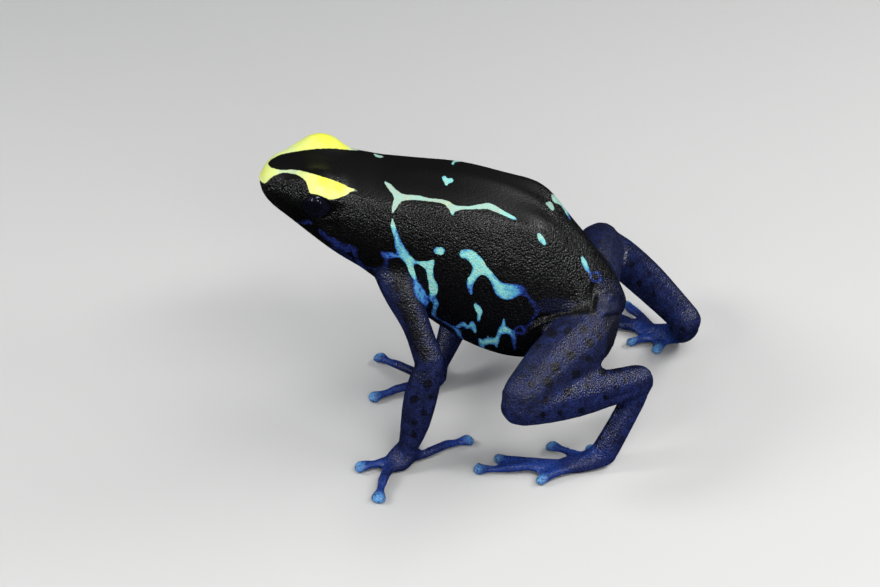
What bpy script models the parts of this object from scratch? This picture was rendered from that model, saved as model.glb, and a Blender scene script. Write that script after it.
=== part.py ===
# Life-size still model of a dyeing poison dart frog that stands with its head raised.
# The animal faces -X and its left side is at -Y. Sizes in this file are millimetres
# and become metres when a mesh is made. The floor is at z = 0.

import math

import bmesh
import bpy
import numpy as np
from mathutils import Vector

MM = 0.001
GAP = 0.3
SHORTEST_EDGE = 0.002
SMOOTH_ANGLE = math.radians(50)
FORWARD = np.array((-1.0, 0.0, 0.0))
UPWARD = np.array((0.0, 0.0, 1.0))

EYE_RADIUS = 2.0
EYE_CENTRE = (-18.45, 4.5, 30.35)
DIGIT_RADIUS = 0.53
DIGIT_ROOT_EXTRA = 0.15
DISC_RADIUS = 0.82
DISC_THICKNESS = 0.5
DISC_LENGTH = 2.2
DISC_SETBACK = 0.35
DIGIT_TIP_HEIGHT = 0.42
DIGIT_ARCH = 0.35
DIGIT_ROOT_RISE = 0.25

BODY_SIDES = 32
LIMB_SIDES = 14
DIGIT_SIDES = 8
GROOVE_SIDES = 6
SECTION_SAMPLES = 241
END_RING_ANGLES = (math.radians(66), math.radians(34))

# Sections of head and trunk from the snout to the vent. Each row has the point on the
# back (x, z), the point on the belly (x, z), the half width, the share of the depth
# that lies below the widest level, and how square the back and the belly are.
BODY_SECTIONS = (
    (-24.80, 31.1, -24.90, 30.1, 0.8, 0.50, 2.0, 2.0),
    (-24.40, 31.8, -24.60, 29.2, 2.0, 0.52, 2.3, 2.0),
    (-23.40, 32.5, -23.80, 28.2, 3.2, 0.54, 2.6, 2.1),
    (-21.60, 33.0, -22.20, 26.8, 4.3, 0.56, 2.8, 2.1),
    (-18.80, 33.1, -19.60, 24.6, 5.5, 0.56, 2.9, 2.1),
    (-15.50, 32.6, -16.80, 22.4, 6.7, 0.54, 2.7, 2.1),
    (-11.50, 31.9, -13.80, 20.1, 7.0, 0.54, 2.6, 2.1),
    (-7.00, 31.4, -10.50, 17.1, 7.4, 0.54, 2.6, 2.1),
    (-2.00, 30.8, -6.00, 13.1, 8.2, 0.52, 2.6, 2.1),
    (3.00, 29.2, -1.00, 9.7, 8.8, 0.50, 2.5, 2.1),
    (7.50, 26.4, 4.20, 8.2, 8.6, 0.48, 2.5, 2.1),
    (11.00, 22.9, 8.50, 8.6, 7.4, 0.50, 2.5, 2.1),
    (13.80, 19.4, 12.00, 9.9, 5.7, 0.50, 2.2, 2.1),
    (15.90, 16.3, 14.60, 11.3, 3.6, 0.50, 2.0, 2.0),
    (16.80, 14.2, 16.20, 12.9, 1.1, 0.50, 2.0, 2.0),
)
NECK_SECTION = 6
HEAD_RINGS = 18
TORSO_RINGS = 24
EVEN_RING_SHARE = 0.45
LIMB_RING_STEP = 1.5

# Every limb piece is a row of stations along its bone: the centre (x, y, z), the
# radius across the limb and the radius towards the limb's reference direction.
ARM_LEFT = {
    "upper_arm": (
        (-10.0, -4.2, 22.6, 2.7, 2.9),
        (-9.1, -7.0, 20.2, 2.1, 2.2),
        (-7.35, -9.3, 16.8, 1.58, 1.6),
        (-5.95, -11.2, 13.3, 1.62, 1.7),
    ),
    "forearm": (
        (-5.9, -11.3, 13.0, 1.65, 1.65),
        (-6.4, -11.5, 11.2, 1.8, 1.8),
        (-7.15, -11.6, 7.7, 1.95, 1.9),
        (-7.8, -11.8, 4.3, 1.8, 1.55),
        (-8.4, -12.0, 2.3, 1.6, 1.15),
    ),
}
ARM_RIGHT = {
    "upper_arm": (
        (-9.6, 4.2, 22.2, 2.7, 2.9),
        (-8.0, 6.6, 19.4, 2.1, 2.2),
        (-4.9, 8.0, 15.6, 1.7, 1.7),
        (-1.5, 8.9, 11.8, 1.75, 1.75),
    ),
    "forearm": (
        (-1.2, 8.9, 11.4, 1.65, 1.65),
        (-1.9, 7.9, 9.4, 1.85, 1.85),
        (-2.9, 6.6, 7.0, 1.8, 1.8),
        (-4.0, 5.1, 4.4, 1.6, 1.4),
        (-4.9, 4.0, 2.5, 1.45, 1.1),
    ),
}
LEG_LEFT = {
    "thigh": (
        (12.2, -2.4, 14.4, 3.9, 4.3),
        (11.3, -8.0, 14.6, 3.5, 3.7),
        (8.0, -13.2, 14.7, 3.15, 3.25),
        (4.4, -17.5, 13.2, 2.45, 2.5),
    ),
    "shank": (
        (4.15, -17.9, 12.2, 2.4, 2.4),
        (6.7, -16.6, 11.75, 2.5, 2.5),
        (10.6, -14.2, 10.9, 2.35, 2.45),
        (14.4, -11.6, 10.1, 2.0, 2.1),
        (17.6, -9.2, 9.3, 1.85, 1.95),
    ),
    "tarsus": (
        (17.6, -9.3, 8.8, 1.7, 1.8),
        (16.9, -10.0, 6.9, 1.45, 1.5),
        (15.4, -11.3, 4.2, 1.45, 1.45),
        (14.1, -12.3, 2.1, 1.6, 1.45),
    ),
}
LEG_RIGHT = {
    "thigh": (
        (12.1, 2.4, 14.2, 3.9, 4.3),
        (13.3, 8.6, 13.7, 3.4, 3.6),
        (14.3, 14.2, 12.4, 2.9, 3.0),
        (14.9, 18.7, 10.7, 2.25, 2.3),
    ),
    "shank": (
        (15.3, 19.0, 10.1, 2.2, 2.2),
        (17.4, 16.3, 9.6, 2.35, 2.4),
        (20.2, 12.4, 8.9, 2.25, 2.35),
        (22.6, 8.8, 8.1, 2.0, 2.1),
        (24.4, 6.1, 7.4, 1.85, 1.9),
    ),
    "tarsus": (
        (24.5, 6.0, 7.1, 1.65, 1.7),
        (24.7, 7.4, 5.5, 1.45, 1.45),
        (24.6, 9.6, 3.5, 1.4, 1.4),
        (24.3, 11.8, 1.9, 1.55, 1.4),
    ),
}

# Palms and soles are short flat limb pieces; digits are listed from the inner one
# outwards by the points of their bones, and all end in a disc on the floor.
HAND_LEFT = {
    "palm": ((-8.5, -12.1, 1.8, 1.65, 1.1), (-9.5, -12.8, 0.85, 1.8, 1.0), (-10.4, -13.4, 0.6, 1.3, 0.75)),
    "digits": (
        ((-9.2, -11.9), (-8.6, -10.0), (-8.1, -8.3)),
        ((-10.1, -12.9), (-12.3, -13.4), (-14.3, -13.8)),
        ((-10.3, -13.3), (-11.2, -16.6), (-11.7, -19.9)),
        ((-8.6, -12.4), (-5.7, -11.1), (-3.3, -9.3), (-1.1, -8.3)),
    ),
}
HAND_RIGHT = {
    "palm": ((-5.0, 3.9, 2.0, 1.45, 1.1), (-5.6, 3.4, 0.9, 1.8, 1.0), (-6.4, 3.1, 0.6, 1.3, 0.75)),
    "digits": (
        ((-5.9, 2.6), (-7.0, 0.4), (-7.7, -1.5)),
        ((-6.2, 2.8), (-9.7, 1.3), (-13.0, -0.1)),
        ((-6.2, 3.7), (-9.5, 6.0), (-12.4, 8.7)),
        ((-5.4, 4.2), (-5.3, 7.0), (-5.7, 9.6)),
    ),
}
FOOT_LEFT = {
    "palm": ((14.1, -12.4, 1.6, 1.6, 1.4), (11.7, -13.0, 0.9, 1.55, 1.1), (9.3, -13.6, 0.6, 1.2, 0.8)),
    "digits": (
        ((13.6, -12.2), (12.8, -10.9), (12.2, -9.9)),
        ((11.9, -12.7), (9.7, -10.9), (7.7, -9.4)),
        ((9.9, -13.4), (6.6, -13.3), (3.6, -12.7), (1.5, -11.9)),
        ((9.9, -13.7), (6.0, -14.1), (2.2, -14.1), (-0.8, -13.9)),
        ((10.6, -13.9), (8.4, -15.1), (6.2, -16.3)),
    ),
}
FOOT_RIGHT = {
    "palm": ((24.3, 12.0, 1.6, 1.55, 1.4), (22.4, 13.0, 0.9, 1.55, 1.1), (20.3, 14.0, 0.6, 1.2, 0.8)),
    "digits": (
        ((23.2, 12.4), (22.1, 10.9), (21.2, 9.7)),
        ((22.4, 12.8), (20.2, 12.0), (18.1, 11.7)),
        ((20.9, 13.5), (18.4, 14.6), (16.2, 15.3), (14.5, 16.0)),
        ((20.7, 13.9), (17.6, 16.4), (14.6, 18.9), (12.1, 20.6)),
        ((21.4, 13.9), (19.8, 17.2), (18.2, 20.4)),
    ),
}

# The line of the mouth runs from one jaw corner round the snout to the other. Each
# pair has the station along the head, as a share of its length, and the share of the
# section's depth at which the lips meet.
MOUTH_LINE = ((0.0, 0.42), (0.12, 0.31), (0.30, 0.25), (0.50, 0.22), (0.68, 0.22), (0.82, 0.27))
MOUTH_STEPS = 16
MOUTH_FRONT = 0.1
MOUTH_CORE_SHARE = 0.2
LIP_RADIUS = 0.5
LIP_DEPTH = 0.38
LIP_SIDES = 8
MOUTH_GROOVE_RADIUS = 0.2
MOUTH_GROOVE_DEPTH = -0.08
NOSTRIL_PLACE = (0.085, 0.66)
NOSTRIL_RADIUS = 0.3
NOSTRIL_FACETS = (10, 6)
EAR_PLACE = (0.62, 0.50)
EAR_CURVE = 2.6
EAR_DEPTH = 0.2
EAR_FACETS = (36, 24)
LID_RADII = (3.35, 3.0, 3.3)
LID_CENTRE = (-18.3, 3.85, 30.65)
LID_OPENING_RADII = (1.75, 1.9, 1.6)
LID_OPENING_CENTRE = (-18.5, 7.0, 30.1)
BALL_FACETS = (20, 12)

MATERIALS = {
    "skin_black": ((0.012, 0.012, 0.014), 0.42),
    "skin_blue": ((0.022, 0.035, 0.23), 0.45),
    "eye_black": ((0.006, 0.006, 0.008), 0.08),
}


def clear_scene():
    for item in list(bpy.data.objects):
        bpy.data.objects.remove(item, do_unlink=True)


def new_collection(name):
    collection = bpy.data.collections.new(name)
    bpy.context.scene.collection.children.link(collection)
    return collection


def make_material(name):
    colour, roughness = MATERIALS[name]
    material = bpy.data.materials.new(name)
    material.use_nodes = True
    shader = material.node_tree.nodes["Principled BSDF"]
    shader.inputs["Base Color"].default_value = (*colour, 1.0)
    shader.inputs["Roughness"].default_value = roughness
    shader.inputs["Metallic"].default_value = 0.0
    material.diffuse_color = (*colour, 1.0)
    return material


def smooth_values(knots, rows, places):
    """Values at the places on a smooth curve that passes through every row."""
    slopes = np.gradient(rows, knots, axis=0)
    spans = np.clip(np.searchsorted(knots, places, side="right") - 1, 0, len(knots) - 2)
    width = (knots[spans + 1] - knots[spans])[:, None]
    u = (places - knots[spans])[:, None] / width
    start = (1 + 2 * u) * (1 - u) ** 2 * rows[spans] + u * (1 - u) ** 2 * width * slopes[spans]
    end = u * u * (3 - 2 * u) * rows[spans + 1] - u * u * (1 - u) * width * slopes[spans + 1]
    return start + end


def chord_lengths(points):
    steps = np.linalg.norm(np.diff(points, axis=0), axis=1)
    return np.concatenate(([0.0], np.cumsum(steps)))


def body_knots():
    rows = np.array(BODY_SECTIONS)
    middles = (rows[:, 0:2] + rows[:, 2:4]) / 2
    return chord_lengths(middles), rows


def body_ring(row, sides=BODY_SIDES):
    """Points round one section, from the back down the left side and up the right."""
    back_x, back_z, belly_x, belly_z, half_width, low_share, back_power, belly_power = row
    belly = np.array((belly_x, 0.0, belly_z))
    rise = np.array((back_x, 0.0, back_z)) - belly
    angle = np.linspace(0.0, math.pi, SECTION_SAMPLES)
    power = np.where(angle < math.pi / 2, back_power, belly_power)
    across = np.abs(np.sin(angle)) ** (2 / power)
    along = np.sign(np.cos(angle)) * np.abs(np.cos(angle)) ** (2 / power)
    share = low_share + np.where(along > 0, along * (1 - low_share), along * low_share)
    half = belly + share[:, None] * rise
    half[:, 1] -= half_width * across
    length = chord_lengths(half)
    even = np.linspace(0.0, length[-1], sides // 2 + 1)
    left = np.column_stack([np.interp(even, length, half[:, axis]) for axis in range(3)])
    right = left[-2:0:-1] * (1.0, -1.0, 1.0)
    return np.vstack((left, right))


def loft_data(rings, start_cap=None, end_cap=None):
    """Vertices and faces of a closed skin over rings that all have the same sides."""
    sides = len(rings[0])
    vertices = [tuple(point) for ring in rings for point in ring]
    faces = []
    for ring in range(len(rings) - 1):
        for side in range(sides):
            here = ring * sides + side
            beside = ring * sides + (side + 1) % sides
            faces.append((here, beside, beside + sides, here + sides))
    for ring, point, flip in ((0, start_cap, True), (len(rings) - 1, end_cap, False)):
        centre = np.mean(rings[ring], axis=0) if point is None else point
        vertices.append(tuple(centre))
        for side in range(sides):
            here = ring * sides + side
            beside = ring * sides + (side + 1) % sides
            fan = (beside, here, len(vertices) - 1)
            faces.append(fan if flip else fan[::-1])
    return vertices, faces


def limb_rings(stations, sides, reference):
    """Rings round a limb piece, with both of its ends rounded off."""
    stations = np.array(stations, dtype=float)
    knots = chord_lengths(stations[:, :3])
    count = max(3, round(knots[-1] / LIMB_RING_STEP)) + 1
    places = np.linspace(0.0, knots[-1], count)
    rows = smooth_values(knots, stations, places)
    tangents = np.gradient(rows[:, :3], places, axis=0)
    tangents /= np.linalg.norm(tangents, axis=1)[:, None]
    rings = []
    angles = np.linspace(0.0, 2 * math.pi, sides, endpoint=False)

    def add_ring(row, tangent, shrink, shift):
        across = np.cross(tangent, reference)
        across /= np.linalg.norm(across)
        towards = np.cross(across, tangent)
        centre = row[:3] + tangent * shift
        ring = centre + shrink * (
            np.outer(np.cos(angles) * row[3], across) + np.outer(np.sin(angles) * row[4], towards)
        )
        rings.append(ring)
        return centre

    radius = min(rows[0, 3:5])
    for turn in END_RING_ANGLES:
        add_ring(rows[0], tangents[0], math.cos(turn), -math.sin(turn) * radius)
    start_pole = rows[0, :3] - tangents[0] * radius
    for row, tangent in zip(rows, tangents):
        add_ring(row, tangent, 1.0, 0.0)
    radius = min(rows[-1, 3:5])
    for turn in reversed(END_RING_ANGLES):
        add_ring(rows[-1], tangents[-1], math.cos(turn), math.sin(turn) * radius)
    end_pole = rows[-1, :3] + tangents[-1] * radius
    return rings, start_pole, end_pole


def add_mesh(name, data, collection, material=None):
    vertices, faces = data
    mesh = bpy.data.meshes.new(name)
    mesh.from_pydata([Vector(point) * MM for point in vertices], [], faces)
    body = bmesh.new()
    body.from_mesh(mesh)
    bmesh.ops.recalc_face_normals(body, faces=body.faces)
    body.to_mesh(mesh)
    body.free()
    item = bpy.data.objects.new(name, mesh)
    collection.objects.link(item)
    if material:
        mesh.materials.append(material)
    return item


def add_cutter(name, data, collection, swell=0.0):
    """A hidden solid that cuts others; swell moves its skin out along its normals."""
    item = add_mesh(name, data, collection)
    item.hide_render = True
    item.display_type = "WIRE"
    if swell:
        for vertex in item.data.vertices:
            vertex.co += vertex.normal * swell * MM
    return item


def ball_data(centre, radii, facets=BALL_FACETS):
    """A ball with its facets given as the columns round it and the rows over it."""
    ball = bmesh.new()
    bmesh.ops.create_uvsphere(ball, u_segments=facets[0], v_segments=facets[1], radius=1.0)
    vertices = [tuple(c + v * r for c, v, r in zip(centre, vertex.co, radii)) for vertex in ball.verts]
    faces = [tuple(vertex.index for vertex in face.verts) for face in ball.faces]
    ball.free()
    return vertices, faces


def drop_flaps(body):
    """Removes pairs of triangles that lie back to back on the same three points."""
    by_corners = {}
    for face in body.faces:
        corners = frozenset(vertex.index for vertex in face.verts)
        by_corners.setdefault(corners, []).append(face)
    flaps = [face for faces in by_corners.values() if len(faces) > 1 for face in faces]
    bmesh.ops.delete(body, geom=flaps, context="FACES")


def tidy_mesh(mesh):
    """Triangles only, with the shortest edges closed up and the biggest surface kept."""
    body = bmesh.new()
    body.from_mesh(mesh)
    bmesh.ops.triangulate(body, faces=body.faces)
    drop_flaps(body)
    bmesh.ops.dissolve_degenerate(body, dist=SHORTEST_EDGE * MM, edges=body.edges)
    bmesh.ops.triangulate(body, faces=body.faces)
    drop_flaps(body)
    keep_largest_surface(body)
    body.to_mesh(mesh)
    body.free()


def keep_largest_surface(body):
    """Leaves only the biggest closed surface of a mesh."""
    unseen = set(body.verts)
    surfaces = []
    while unseen:
        front = [unseen.pop()]
        surface = set(front)
        while front:
            vertex = front.pop()
            for edge in vertex.link_edges:
                other = edge.other_vert(vertex)
                if other in unseen:
                    unseen.remove(other)
                    surface.add(other)
                    front.append(other)
        surfaces.append(surface)
    largest = max(surfaces, key=len)
    loose = [vertex for vertex in body.verts if vertex not in largest]
    bmesh.ops.delete(body, geom=loose, context="VERTS")


def apply_boolean(item, operation, cutters=(), collection=None):
    """Joins or cuts an object with others and keeps the result as its own mesh."""
    for cutter in cutters:
        modifier = item.modifiers.new("cut", "BOOLEAN")
        modifier.operation = operation
        modifier.solver = "EXACT"
        modifier.object = cutter
    if collection:
        modifier = item.modifiers.new("join", "BOOLEAN")
        modifier.operation = operation
        modifier.solver = "EXACT"
        modifier.operand_type = "COLLECTION"
        modifier.collection = collection
    scene_graph = bpy.context.evaluated_depsgraph_get()
    mesh = bpy.data.meshes.new_from_object(item.evaluated_get(scene_graph))
    item.modifiers.clear()
    item.data = mesh
    mesh.name = item.name
    tidy_mesh(mesh)


def join_pieces(name, pieces, collection, material):
    """One closed object from overlapping closed pieces."""
    first = add_mesh(name, pieces[0], collection, material)
    group = new_collection(name + "_pieces")
    for number, data in enumerate(pieces[1:]):
        add_mesh(f"{name}_piece_{number}", data, group, material)
    apply_boolean(first, "UNION", collection=group)
    for piece in list(group.objects):
        bpy.data.objects.remove(piece, do_unlink=True)
    bpy.data.collections.remove(group)
    return first


def body_loft(start, end, count, bunch_start):
    """Skin over the body between two stations, with more rings near its round end."""
    knots, rows = body_knots()
    even = np.linspace(0.0, 1.0, count)
    bunched = 1 - np.cos(even * math.pi / 2)
    shares = EVEN_RING_SHARE * even + (1 - EVEN_RING_SHARE) * bunched
    if not bunch_start:
        shares = 1 - shares[::-1]
    places = start + (end - start) * shares
    sections = smooth_values(knots, rows, places)
    return loft_data([body_ring(section) for section in sections])


def mirrored(point, side):
    return (point[0], point[1] * side, point[2])


def head_section(share):
    knots, rows = body_knots()
    return smooth_values(knots, rows, np.array([share * knots[NECK_SECTION]]))[0]


def head_middle(share):
    section = head_section(share)
    return np.array(((section[0] + section[2]) / 2, 0.0, (section[1] + section[3]) / 2))


def head_point(share, depth):
    """Point on the left side of the head, by shares of its length and of its depth."""
    section = head_section(share)
    ring = body_ring(section)[: BODY_SIDES // 2 + 1]
    belly, back = section[3], section[1]
    heights = (ring[::-1, 2] - belly) / (back - belly)
    return np.array([np.interp(depth, heights, ring[::-1, axis]) for axis in range(3)])


def ear_dish_centre():
    """Middle of the ball that leaves the shallow round dish of the eardrum."""
    point = head_point(*EAR_PLACE)
    outward = point - head_middle(EAR_PLACE[0])
    return point + outward / np.linalg.norm(outward) * (EAR_CURVE - EAR_DEPTH)


def mouth_bar(radius, sunk, sides):
    """A round bar along the line of the mouth, with its middle sunk below the skin."""
    line = np.array(MOUTH_LINE)
    shares = np.linspace(line[0, 0], line[-1, 0], MOUTH_STEPS)
    depths = smooth_values(line[:, 0], line[:, 1:], shares)[:, 0]
    left = []
    for share, depth in zip(shares, depths):
        point = head_point(share, depth)
        inward = head_middle(share + MOUTH_CORE_SHARE) - point
        left.append(point + inward / np.linalg.norm(inward) * sunk)
    left = np.array(left)
    right = left * (1.0, -1.0, 1.0)
    front = np.array([[left[0, 0] - MOUTH_FRONT, 0.0, left[0, 2]]])
    path = np.vstack((left[::-1], front, right))
    stations = np.hstack((path, np.full((len(path), 2), radius)))
    rings, start_pole, end_pole = limb_rings(stations, sides, UPWARD)
    return loft_data(rings, start_pole, end_pole)


def build_head(parts, cutters, material):
    knots, _ = body_knots()
    skull = body_loft(0.0, knots[NECK_SECTION] - GAP / 2, HEAD_RINGS, True)
    lids = [ball_data(mirrored(LID_CENTRE, side), LID_RADII) for side in (-1, 1)]
    lips = mouth_bar(LIP_RADIUS, LIP_DEPTH, LIP_SIDES)
    head = join_pieces("head", [skull] + lids + [lips], parts, material)
    socket = (EYE_RADIUS + GAP,) * 3
    tools = []
    for side, word in ((-1, "left"), (1, "right")):
        tools.append(add_cutter(f"socket_{word}", ball_data(mirrored(EYE_CENTRE, side), socket), cutters))
        opening = ball_data(mirrored(LID_OPENING_CENTRE, side), LID_OPENING_RADII)
        tools.append(add_cutter(f"lid_opening_{word}", opening, cutters))
        nostril_point = mirrored(head_point(*NOSTRIL_PLACE), -side)
        nostril = ball_data(nostril_point, (NOSTRIL_RADIUS,) * 3, NOSTRIL_FACETS)
        tools.append(add_cutter(f"nostril_{word}", nostril, cutters))
        ear = ball_data(mirrored(ear_dish_centre(), -side), (EAR_CURVE,) * 3, EAR_FACETS)
        tools.append(add_cutter(f"ear_{word}", ear, cutters))
    mouth = mouth_bar(MOUTH_GROOVE_RADIUS, MOUTH_GROOVE_DEPTH, GROOVE_SIDES)
    tools.append(add_cutter("mouth_line", mouth, cutters))
    apply_boolean(head, "DIFFERENCE", tools)
    return head


def build_torso(parts, cutters, material):
    """The trunk, and the clearances that every limb keeps from head and trunk."""
    knots, _ = body_knots()
    trunk = body_loft(knots[NECK_SECTION] + GAP / 2, knots[-1], TORSO_RINGS, False)
    skull = body_loft(0.0, knots[NECK_SECTION] - GAP / 2, HEAD_RINGS, True)
    add_mesh("torso", trunk, parts, material)
    return [
        add_cutter("torso_clearance", trunk, cutters, GAP),
        add_cutter("head_clearance", skull, cutters, GAP),
    ]


def build_limb(names, table, side_word, reference, body_clearances, parts, cutters, material):
    """Limb pieces from the body outwards, each cut clear of those before it."""
    clearances = list(body_clearances)
    for name in names:
        rings, start_pole, end_pole = limb_rings(table[name], LIMB_SIDES, reference)
        data = loft_data(rings, start_pole, end_pole)
        item = add_mesh(f"{name}_{side_word}", data, parts, material)
        apply_boolean(item, "DIFFERENCE", clearances)
        clearances.append(add_cutter(f"{name}_{side_word}_clearance", data, cutters, GAP))
    return clearances


def digit_data(points):
    """A digit from its root to its disc; it runs level and its disc lies on the floor."""
    plan = np.array(points)
    lengths = chord_lengths(plan)
    full = lengths[-1]
    near_disc = full - DISC_LENGTH * DISC_RADIUS
    disc_middle = full - DISC_SETBACK * DISC_RADIUS
    places = np.array((0.0, 0.35 * full, 0.7 * full, near_disc, disc_middle))
    places = np.unique(np.clip(places, 0.0, full))
    rows = smooth_values(lengths, plan, places)
    arch = np.sin(places / full * math.pi)
    to_root = 1 - places / full
    height = DIGIT_TIP_HEIGHT + DIGIT_ARCH * arch + DIGIT_ROOT_RISE * to_root
    digit_radius = DIGIT_RADIUS + DIGIT_ROOT_EXTRA * to_root
    across = np.where(places > near_disc, DISC_RADIUS, digit_radius)
    upward = np.where(places > near_disc, DISC_THICKNESS, DIGIT_RADIUS)
    stations = np.column_stack((rows, height, across, upward))
    rings, start_pole, end_pole = limb_rings(stations, DIGIT_SIDES, UPWARD)
    return loft_data(rings, start_pole, end_pole)


def build_hand_or_foot(name, table, clearances, floor, parts, material):
    rings, start_pole, end_pole = limb_rings(table["palm"], LIMB_SIDES, UPWARD)
    pieces = [loft_data(rings, start_pole, end_pole)]
    pieces += [digit_data(points) for points in table["digits"]]
    item = join_pieces(name, pieces, parts, material)
    apply_boolean(item, "DIFFERENCE", clearances + [floor])
    return item


def build_eyes(parts, material):
    for side, word in ((-1, "left"), (1, "right")):
        add_mesh(f"eye_{word}", ball_data(mirrored(EYE_CENTRE, side), (EYE_RADIUS,) * 3), parts, material)


def add_floor_cutter(cutters):
    bpy.ops.mesh.primitive_cube_add(size=1.0, location=(0.0, 0.0, -5 * MM))
    floor = bpy.context.object
    floor.name = "floor_level"
    floor.scale = (0.2, 0.2, 10 * MM)
    floor.hide_render = True
    floor.display_type = "WIRE"
    for collection in list(floor.users_collection):
        collection.objects.unlink(floor)
    cutters.objects.link(floor)
    return floor


def stand_on_origin(parts):
    """Moves the animal by its parent so that its box is centred over the origin."""
    low = np.full(3, np.inf)
    high = np.full(3, -np.inf)
    for item in parts.objects:
        points = np.array([item.matrix_world @ vertex.co for vertex in item.data.vertices])
        low = np.minimum(low, points.min(axis=0))
        high = np.maximum(high, points.max(axis=0))
    anchor = bpy.data.objects.new("frog_origin", None)
    bpy.context.scene.collection.objects.link(anchor)
    for item in parts.objects:
        item.parent = anchor
    middle = (low + high) / 2
    anchor.location = (-middle[0], -middle[1], 0.0)


clear_scene()
frog_parts = new_collection("poison_dart_frog")
frog_cutters = new_collection("cutters")
black_skin = make_material("skin_black")
blue_skin = make_material("skin_blue")
eye_black = make_material("eye_black")

build_head(frog_parts, frog_cutters, black_skin)
build_eyes(frog_parts, eye_black)
body_clearances = build_torso(frog_parts, frog_cutters, black_skin)
floor_block = add_floor_cutter(frog_cutters)

for word, arm, hand, leg, foot in (
    ("left", ARM_LEFT, HAND_LEFT, LEG_LEFT, FOOT_LEFT),
    ("right", ARM_RIGHT, HAND_RIGHT, LEG_RIGHT, FOOT_RIGHT),
):
    arm_clearances = build_limb(
        ("upper_arm", "forearm"), arm, word, FORWARD, body_clearances, frog_parts, frog_cutters, blue_skin
    )
    build_hand_or_foot("hand_" + word, hand, arm_clearances, floor_block, frog_parts, blue_skin)
    leg_clearances = build_limb(
        ("thigh", "shank", "tarsus"), leg, word, UPWARD, body_clearances, frog_parts, frog_cutters, blue_skin
    )
    build_hand_or_foot("foot_" + word, foot, leg_clearances, floor_block, frog_parts, blue_skin)

for part in frog_parts.objects:
    part.data.shade_smooth()
    part.data.set_sharp_from_angle(angle=SMOOTH_ANGLE)
stand_on_origin(frog_parts)
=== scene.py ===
import math

import bpy
import numpy as np
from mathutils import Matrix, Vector, noise
from mathutils.bvhtree import BVHTree


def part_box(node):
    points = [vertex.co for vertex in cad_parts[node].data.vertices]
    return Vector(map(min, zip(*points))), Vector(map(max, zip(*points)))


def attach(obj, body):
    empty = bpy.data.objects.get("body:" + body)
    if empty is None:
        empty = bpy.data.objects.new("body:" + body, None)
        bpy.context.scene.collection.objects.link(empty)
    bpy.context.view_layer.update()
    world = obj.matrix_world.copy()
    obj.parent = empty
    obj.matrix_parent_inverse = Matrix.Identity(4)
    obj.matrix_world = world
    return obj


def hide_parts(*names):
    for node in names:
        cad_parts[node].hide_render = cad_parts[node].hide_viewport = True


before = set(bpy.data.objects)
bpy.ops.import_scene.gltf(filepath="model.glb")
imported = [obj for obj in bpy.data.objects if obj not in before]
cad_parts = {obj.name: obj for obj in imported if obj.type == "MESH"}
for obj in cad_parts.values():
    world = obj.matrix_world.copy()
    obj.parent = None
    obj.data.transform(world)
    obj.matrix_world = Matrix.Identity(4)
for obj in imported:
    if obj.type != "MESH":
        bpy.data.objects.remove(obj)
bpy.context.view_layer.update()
bpy.ops.object.select_all(action="DESELECT")


# The picture is taken with a long lens from the animal's left side and from above.
# The frog faces -X with its left side at -Y, and the floor is at z = 0.
MM = 0.001
VIEW_ELEVATION = math.radians(33)
VIEW_DISTANCE = 295 * MM
VIEW_AIM = Vector((-5.338, -0.44, 15.14)) * MM
LENS_LENGTH = 105.0
SENSOR_WIDTH = 36.0
NEAREST_SEEN = 5 * MM
FARTHEST_SEEN = 5.0
PICTURE_SIZE = (880, 587)

towards_camera = Vector((0.0, -math.cos(VIEW_ELEVATION), math.sin(VIEW_ELEVATION)))
camera_place = VIEW_AIM + towards_camera * VIEW_DISTANCE
bpy.ops.object.camera_add(
    location=camera_place, rotation=(math.pi / 2 - VIEW_ELEVATION, 0.0, 0.0)
)
camera = bpy.context.object
camera.name = "museum_camera"
camera.data.lens = LENS_LENGTH
camera.data.sensor_width = SENSOR_WIDTH
camera.data.clip_start = NEAREST_SEEN
camera.data.clip_end = FARTHEST_SEEN
bpy.context.scene.camera = camera


def picture_place(points):
    """Where points of the model fall in the picture, in its pixels."""
    away = points - np.array(camera_place)
    upward = np.array((0.0, math.sin(VIEW_ELEVATION), math.cos(VIEW_ELEVATION)))
    depth = away @ -np.array(towards_camera)
    pixels = PICTURE_SIZE[0] * LENS_LENGTH / SENSOR_WIDTH
    across = PICTURE_SIZE[0] / 2 + pixels * away[:, 0] / depth
    down = PICTURE_SIZE[1] / 2 - pixels * (away @ upward) / depth
    return np.column_stack((across, down))


def facing(points, normals):
    """1 where the surface faces the camera, 0 at its outline and less behind it."""
    sight = np.array(camera_place) - points
    sight /= np.linalg.norm(sight, axis=1)[:, None]
    return np.sum(sight * normals, axis=1)


# The skin. One moist skin covers head, trunk and limbs without a seam. It starts as
# copies of the named parts, which are swollen until they touch, made one surface on a
# fine grid, shrunk back, and softened where one part runs into the next.
SIDES = ("left", "right")
BODY_PARTS = ("head", "torso")
LIMB_CHAINS = (("upper_arm", "forearm", "hand"), ("thigh", "shank", "tarsus", "foot"))
WELD_DISTANCE = 0.0001 * MM
SWELL = 0.19 * MM
GRID = 0.32 * MM
SEAM_CORE = 0.35 * MM
SEAM_WIDTH = 1.3 * MM
SEAM_PASSES = 7
TRUNK_EDGE = 0.6 * MM
TRUNK_PASSES = 21
EYE_MARGIN = (0.4 * MM, 1.2 * MM)
ALL_OVER_PASSES = 2
WEIGHT_LEVELS = 20


def select_only(item):
    bpy.ops.object.select_all(action="DESELECT")
    item.select_set(True)
    bpy.context.view_layer.objects.active = item


def apply_modifiers(item):
    select_only(item)
    for modifier in list(item.modifiers):
        bpy.ops.object.modifier_apply(modifier=modifier.name)


def read_rows(items, field):
    """A place, centre or normal for each vertex or face of a mesh, one in each row."""
    values = np.empty(len(items) * 3)
    items.foreach_get(field, values)
    return values.reshape(-1, 3)


def points_of(mesh):
    return read_rows(mesh.vertices, "co")


def normals_of(mesh):
    return read_rows(mesh.vertex_normals, "vector")


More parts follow.
